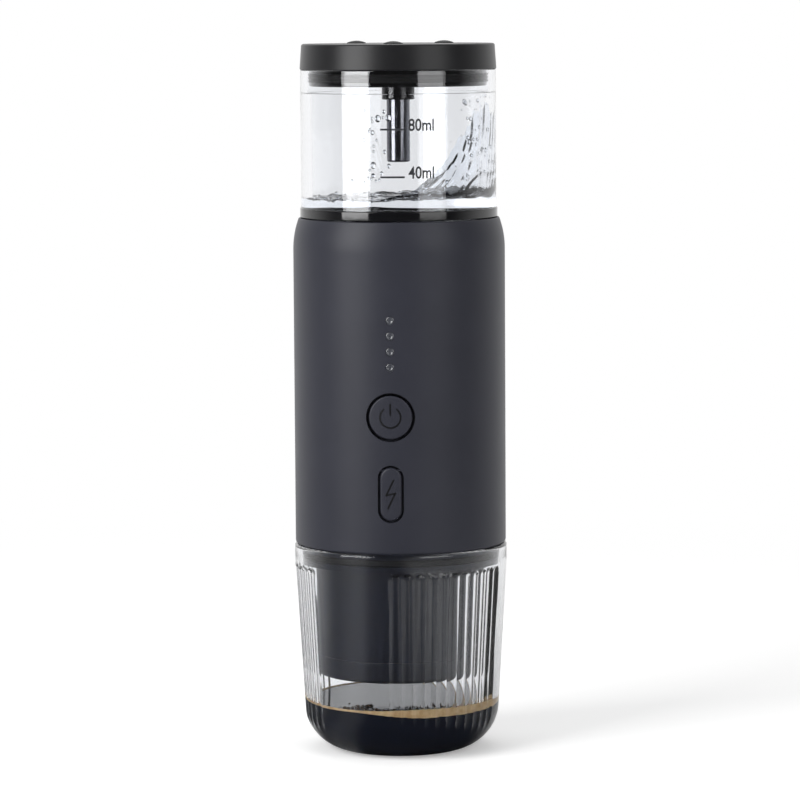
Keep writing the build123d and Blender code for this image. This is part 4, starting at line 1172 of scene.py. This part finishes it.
# coffee film of the bubbles: dark brown, wet highlights
finishes["coffee_film"] = mouldedFinish("coffee_bubble_film", {
    "dark": "#120d0b", "light": "#3a2a1c", "rough": (0.03, 0.08),
    "driftMm": 2.0, "grainMm": 0.6, "bump": 0.03,
}, {"IOR": 1.34})
finishPiece(coffeeBody(), "cup", "coffee", sharp=60.0, liquid=True)
finishPiece(cremaRing(), "cup", "crema", sharp=60.0, liquid=True)
finishPiece(coffeeBubbles(), "cup", "coffee_film", sharp=60.0, liquid=True)
print("cup done")


# brew head, nozzle cap and grip ring, seen through the cup
brew = {"inner": 26.2, "ledge": 24.6, "ledgeHeight": 3.0, "flange": 0.8, "lugAngle": 30.0, "lugDrop": 0.25,
        "edgeRound": 1.5, "topRound": 0.3, "recess": 9.0, "recessDepth": 3.0, "recessRound": 0.5,
        "spout": 3.6, "spoutLift": 0.6, "bore": 2.0, "neckOuter": 26.1, "neckInner": 23.9, "neckHeight": 5.0,
        "seamRound": 0.25}
grip = {"wall": 1.2, "edgeRound": 0.575}
headRadius, capLow, _ = reach("nozzle_cap")
_, seam, headTop = reach("brew_head_shell")


def brewHead():
    ledgeHigh = headTop - brew["flange"]
    ledgeLow = ledgeHigh - brew["ledgeHeight"]
    piece = turned("brew_head_shell", [
        (brew["inner"], seam), (headRadius, seam), (headRadius, headTop), (brew["inner"], headTop),
        (brew["inner"], ledgeHigh), (brew["ledge"], ledgeHigh), (brew["ledge"], ledgeLow),
        (brew["inner"], ledgeLow),
    ], {1: brew["seamRound"], 2: brew["topRound"]})
    addLugs(piece, brew["inner"] + lugs["root"], headRadius + lugs["reach"],
            headTop - brew["lugDrop"] - lugs["height"], brew["lugAngle"])
    return piece


def nozzleCap():
    spoutLow = capLow + brew["spoutLift"]
    roof = capLow + brew["recessDepth"]
    neckTop = seam + brew["neckHeight"]
    return turned("nozzle_cap", [
        (brew["bore"], spoutLow), (brew["spout"], spoutLow), (brew["spout"], roof), (brew["recess"], roof),
        (brew["recess"], capLow), (headRadius, capLow), (headRadius, seam), (brew["neckOuter"], seam),
        (brew["neckOuter"], neckTop), (brew["neckInner"], neckTop), (brew["neckInner"], seam),
        (brew["bore"], roof + brew["bore"]),
    ], {4: brew["recessRound"], 5: brew["edgeRound"], 6: brew["seamRound"]})


finishPiece(brewHead(), "brew_head", "black_plastic", ["brew_head_shell"])
finishPiece(nozzleCap(), "brew_head", "black_plastic", ["nozzle_cap"])
finishPiece(plainRing("cup_grip_ring", grip), "machine", "black_silicone", ["cup_grip_ring"])


# CAD nodes that stay take the finish of their slot
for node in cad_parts.values():
    if not node.hide_render:
        slotName = node.data.materials[0].name.split(".")[0]
        node.data.materials.clear()
        node.data.materials.append(finishes[slotName])
print("brew head done, CAD nodes dressed")


# floor and studio
# mirrored: the painted dark grey that mirrors show in place of the pale floor
studio = {"floor": "#f2f2f2", "floorSize": 12.0, "mirrored": "#4c4c4e", "glow": 0.3, "nearFloor": 0.15,
          "farFloor": 0.6, "ambient": 0.30, "frontLevel": 0.05, "frontTo": -0.1, "backLevel": 1.0,
          "backFrom": 0.6, "turnFrom": 0.5, "patchFrom": 0.04, "patchFull": 0.12, "leftLift": 0.3,
          "leftMiddle": 0.72, "leftCore": 0.08, "leftEdge": 0.28, "lampAim": 0.3, "cardRough": 0.9,
          "cardShine": 0.1}
camera = {"lens": 171.0, "sensor": 36.0, "distance": 1.2769, "elevation": 5.9, "azimuth": 5.2, "aim": 0.11767,
          "roll": -0.35}
softboxes = {
    "left_softbox": {"angle": -52.0, "distance": 1.05, "width": 0.70, "height": 1.0, "middle": 0.59,
                     "radiance": 6.6},
    "right_softbox": {"angle": 40.0, "distance": 1.05, "width": 0.68, "height": 1.0, "middle": 0.59,
                      "radiance": 2.4},
    "top_softbox": {"angle": 180.0, "distance": 0.5, "width": 1.2, "height": 0.8, "middle": 1.5,
                    "radiance": 2.0},
}


# a direction round the object, counted from the camera to the right
def aroundCamera(angle, distance, z):
    turn = math.radians(frontAngle + camera["azimuth"] + angle)
    return Vector((distance * math.cos(turn), distance * math.sin(turn), z))


def addCamera():
    up = math.radians(camera["elevation"])
    aim = Vector((0, 0, camera["aim"]))
    place = aim + aroundCamera(0, camera["distance"] * math.cos(up), camera["distance"] * math.sin(up))
    turn = (aim - place).to_track_quat("-Z", "Y") @ Quaternion((0, 0, 1), math.radians(camera["roll"]))
    bpy.ops.object.camera_add(location=place, rotation=turn.to_euler())
    made = bpy.context.object
    made.data.lens = camera["lens"]
    made.data.sensor_width = camera["sensor"]
    bpy.context.scene.camera = made


def addSoftboxes():
    for name, box in softboxes.items():
        place = aroundCamera(box["angle"], box["distance"], box["middle"])
        aim = Vector((0, 0, min(box["middle"], studio["lampAim"])))
        bpy.ops.object.light_add(type="AREA", location=place,
                                 rotation=(aim - place).to_track_quat("-Z", "Y").to_euler())
        lamp = bpy.context.object
        lamp.name = name
        lamp.data.shape = "RECTANGLE"
        lamp.data.size = box["width"]
        lamp.data.size_y = box["height"]
        lamp.data.energy = box["radiance"] * math.pi * box["width"] * box["height"]
        lamp.visible_camera = False


# two switches for the stage: 1 for what is seen straight on or through glass, 1 for what a mirror shows
def pathSwitches(tree):
    way = addNode(tree, "ShaderNodeLightPath").outputs
    bounces = addNode(tree, "ShaderNodeMath", {"operation": "ADD"},
                      {0: way["Diffuse Depth"], 1: way["Glossy Depth"]})
    straight = addNode(tree, "ShaderNodeMath", {"operation": "LESS_THAN", 1: 0.5}, {0: bounces.outputs[0]})
    through = addNode(tree, "ShaderNodeMath", {"operation": "MAXIMUM"},
                      {0: way["Is Camera Ray"], 1: way["Is Transmission Ray"]})
    seen = addNode(tree, "ShaderNodeMath", {"operation": "MULTIPLY"},
                   {0: straight.outputs[0], 1: through.outputs[0]})
    glossy = addNode(tree, "ShaderNodeMath", {"operation": "GREATER_THAN", 1: 0.5}, {0: way["Glossy Depth"]})
    matt = addNode(tree, "ShaderNodeMath", {"operation": "GREATER_THAN", 1: 0.5}, {0: way["Diffuse Depth"]})
    mirrored = addNode(tree, "ShaderNodeMath", {"operation": "SUBTRACT", "use_clamp": True},
                       {0: glossy.outputs[0], 1: matt.outputs[0]})
    return seen.outputs[0], mirrored.outputs[0]


# white to the eye and in glass, a soft grey studio for the rest; mirrored, bright only behind the object
def studioWorld():
    world = bpy.data.worlds.new("white_studio")
    bpy.context.scene.world = world
    world.use_nodes = True
    tree = world.node_tree
    tree.nodes.clear()
    seen, mirrored = pathSwitches(tree)
    toward = addNode(tree, "ShaderNodeSeparateXYZ", None,
                     {0: addNode(tree, "ShaderNodeTexCoord").outputs["Generated"]})
    behind = addNode(tree, "ShaderNodeMapRange",
                     {"From Min": studio["frontTo"], "From Max": studio["backFrom"],
                      "To Min": studio["frontLevel"], "To Max": studio["backLevel"]},
                     {"Value": toward.outputs["Y"]})
    unseen = addNode(tree, "ShaderNodeMix", {"data_type": "FLOAT", 2: studio["ambient"]},
                     {0: mirrored, 3: behind.outputs["Result"]})
    level = addNode(tree, "ShaderNodeMix", {"data_type": "FLOAT", 3: 1.0}, {0: seen, 2: unseen.outputs[0]})
    sky = addNode(tree, "ShaderNodeBackground", {"Color": (1, 1, 1, 1)}, {"Strength": level.outputs[0]})
    addNode(tree, "ShaderNodeOutputWorld", None, {"Surface": sky.outputs["Background"]})


# painted reflection: how dark the floor is in a mirror image, though it is pale: dark in front, but for a
# near patch on the right, which draws the bright lines in the cup's flutes, and a lift on the left, which
# carries the left softbox's highlight down
def mirroredDark(tree, place, away, far):
    side = addNode(tree, "ShaderNodeSeparateXYZ", None, {0: place}).outputs
    facing = addNode(tree, "ShaderNodeMath", {"operation": "DIVIDE"}, {0: side["Y"], 1: away})
    inFront = addNode(tree, "ShaderNodeMapRange",
                      {"From Min": studio["turnFrom"], "From Max": -studio["turnFrom"],
                       "interpolation_type": "SMOOTHSTEP"}, {"Value": facing.outputs[0]})
    onLeft = addNode(tree, "ShaderNodeMapRange",
                     {"From Min": studio["patchFull"], "From Max": studio["patchFrom"]}, {"Value": side["X"]})
    spread = addNode(tree, "ShaderNodeMath", {"operation": "MAXIMUM"}, {0: onLeft.outputs[0], 1: far})
    part = addNode(tree, "ShaderNodeMath", {"operation": "MULTIPLY"},
                   {0: inFront.outputs[0], 1: spread.outputs[0]})
    across = addNode(tree, "ShaderNodeMath", {"operation": "DIVIDE"}, {0: side["X"], 1: away})
    beside = addNode(tree, "ShaderNodeMath", {"operation": "ADD", 1: studio["leftMiddle"]},
                     {0: across.outputs[0]})
    apart = addNode(tree, "ShaderNodeMath", {"operation": "ABSOLUTE"}, {0: beside.outputs[0]})
    kept = addNode(tree, "ShaderNodeMapRange",
                   {"From Min": studio["leftEdge"], "From Max": studio["leftCore"], "To Min": 1.0,
                    "To Max": 1.0 - studio["leftLift"], "interpolation_type": "SMOOTHSTEP"},
                   {"Value": apart.outputs[0]})
    return addNode(tree, "ShaderNodeMath", {"operation": "MULTIPLY"},
                   {0: part.outputs[0], 1: kept.outputs[0]}).outputs[0]


# pale card: it keeps the shadow near the object and glows up to white far off; in mirrors it shows a painted
# dark grey
def floorCard():
    deselect()
    bpy.ops.mesh.primitive_plane_add(size=studio["floorSize"])
    floor = bpy.context.object
    floor.name = "studio_floor"
    material, tree, place = newMaterial("pale_card")
    seen, mirrored = pathSwitches(tree)
    away = addNode(tree, "ShaderNodeVectorMath", {"operation": "LENGTH"}, {0: place}).outputs["Value"]
    far = addNode(tree, "ShaderNodeMapRange",
                  {"From Min": studio["nearFloor"], "From Max": studio["farFloor"],
                   "interpolation_type": "SMOOTHSTEP"}, {"Value": away}).outputs["Result"]
    either = addNode(tree, "ShaderNodeMath", {"operation": "MAXIMUM"}, {0: seen, 1: mirrored})
    white = addNode(tree, "ShaderNodeMath", {"operation": "MULTIPLY"}, {0: either.outputs[0], 1: far})
    glow = addNode(tree, "ShaderNodeMath", {"operation": "MULTIPLY", 1: studio["glow"]}, {0: seen})
    near = addNode(tree, "ShaderNodeBsdfPrincipled",
                   {"Base Color": linear(studio["floor"]), "Roughness": studio["cardRough"],
                    "Specular IOR Level": studio["cardShine"], "Emission Color": (1, 1, 1, 1)},
                   {"Emission Strength": glow.outputs[0]})
    sheet = addNode(tree, "ShaderNodeEmission", {"Color": (1, 1, 1, 1), "Strength": 1.0})
    card = addNode(tree, "ShaderNodeMixShader", None,
                   {0: white.outputs[0], 1: near.outputs["BSDF"], 2: sheet.outputs["Emission"]})
    # painted reflection: glossy rays see the floor in this dark grey, not in its own pale colour
    dark = addNode(tree, "ShaderNodeBsdfDiffuse", {"Color": linear(studio["mirrored"])})
    darkShare = addNode(tree, "ShaderNodeMath", {"operation": "MULTIPLY"},
                        {0: mirrored, 1: mirroredDark(tree, place, away, far)})
    mix = addNode(tree, "ShaderNodeMixShader", None,
                  {0: darkShare.outputs[0], 1: card.outputs["Shader"], 2: dark.outputs["BSDF"]})
    addNode(tree, "ShaderNodeOutputMaterial", None, {"Surface": mix.outputs["Shader"]})
    floor.data.materials.append(material)


addCamera()
addSoftboxes()
studioWorld()
floorCard()
bpy.context.scene.view_settings.view_transform = "Standard"
print("studio done")
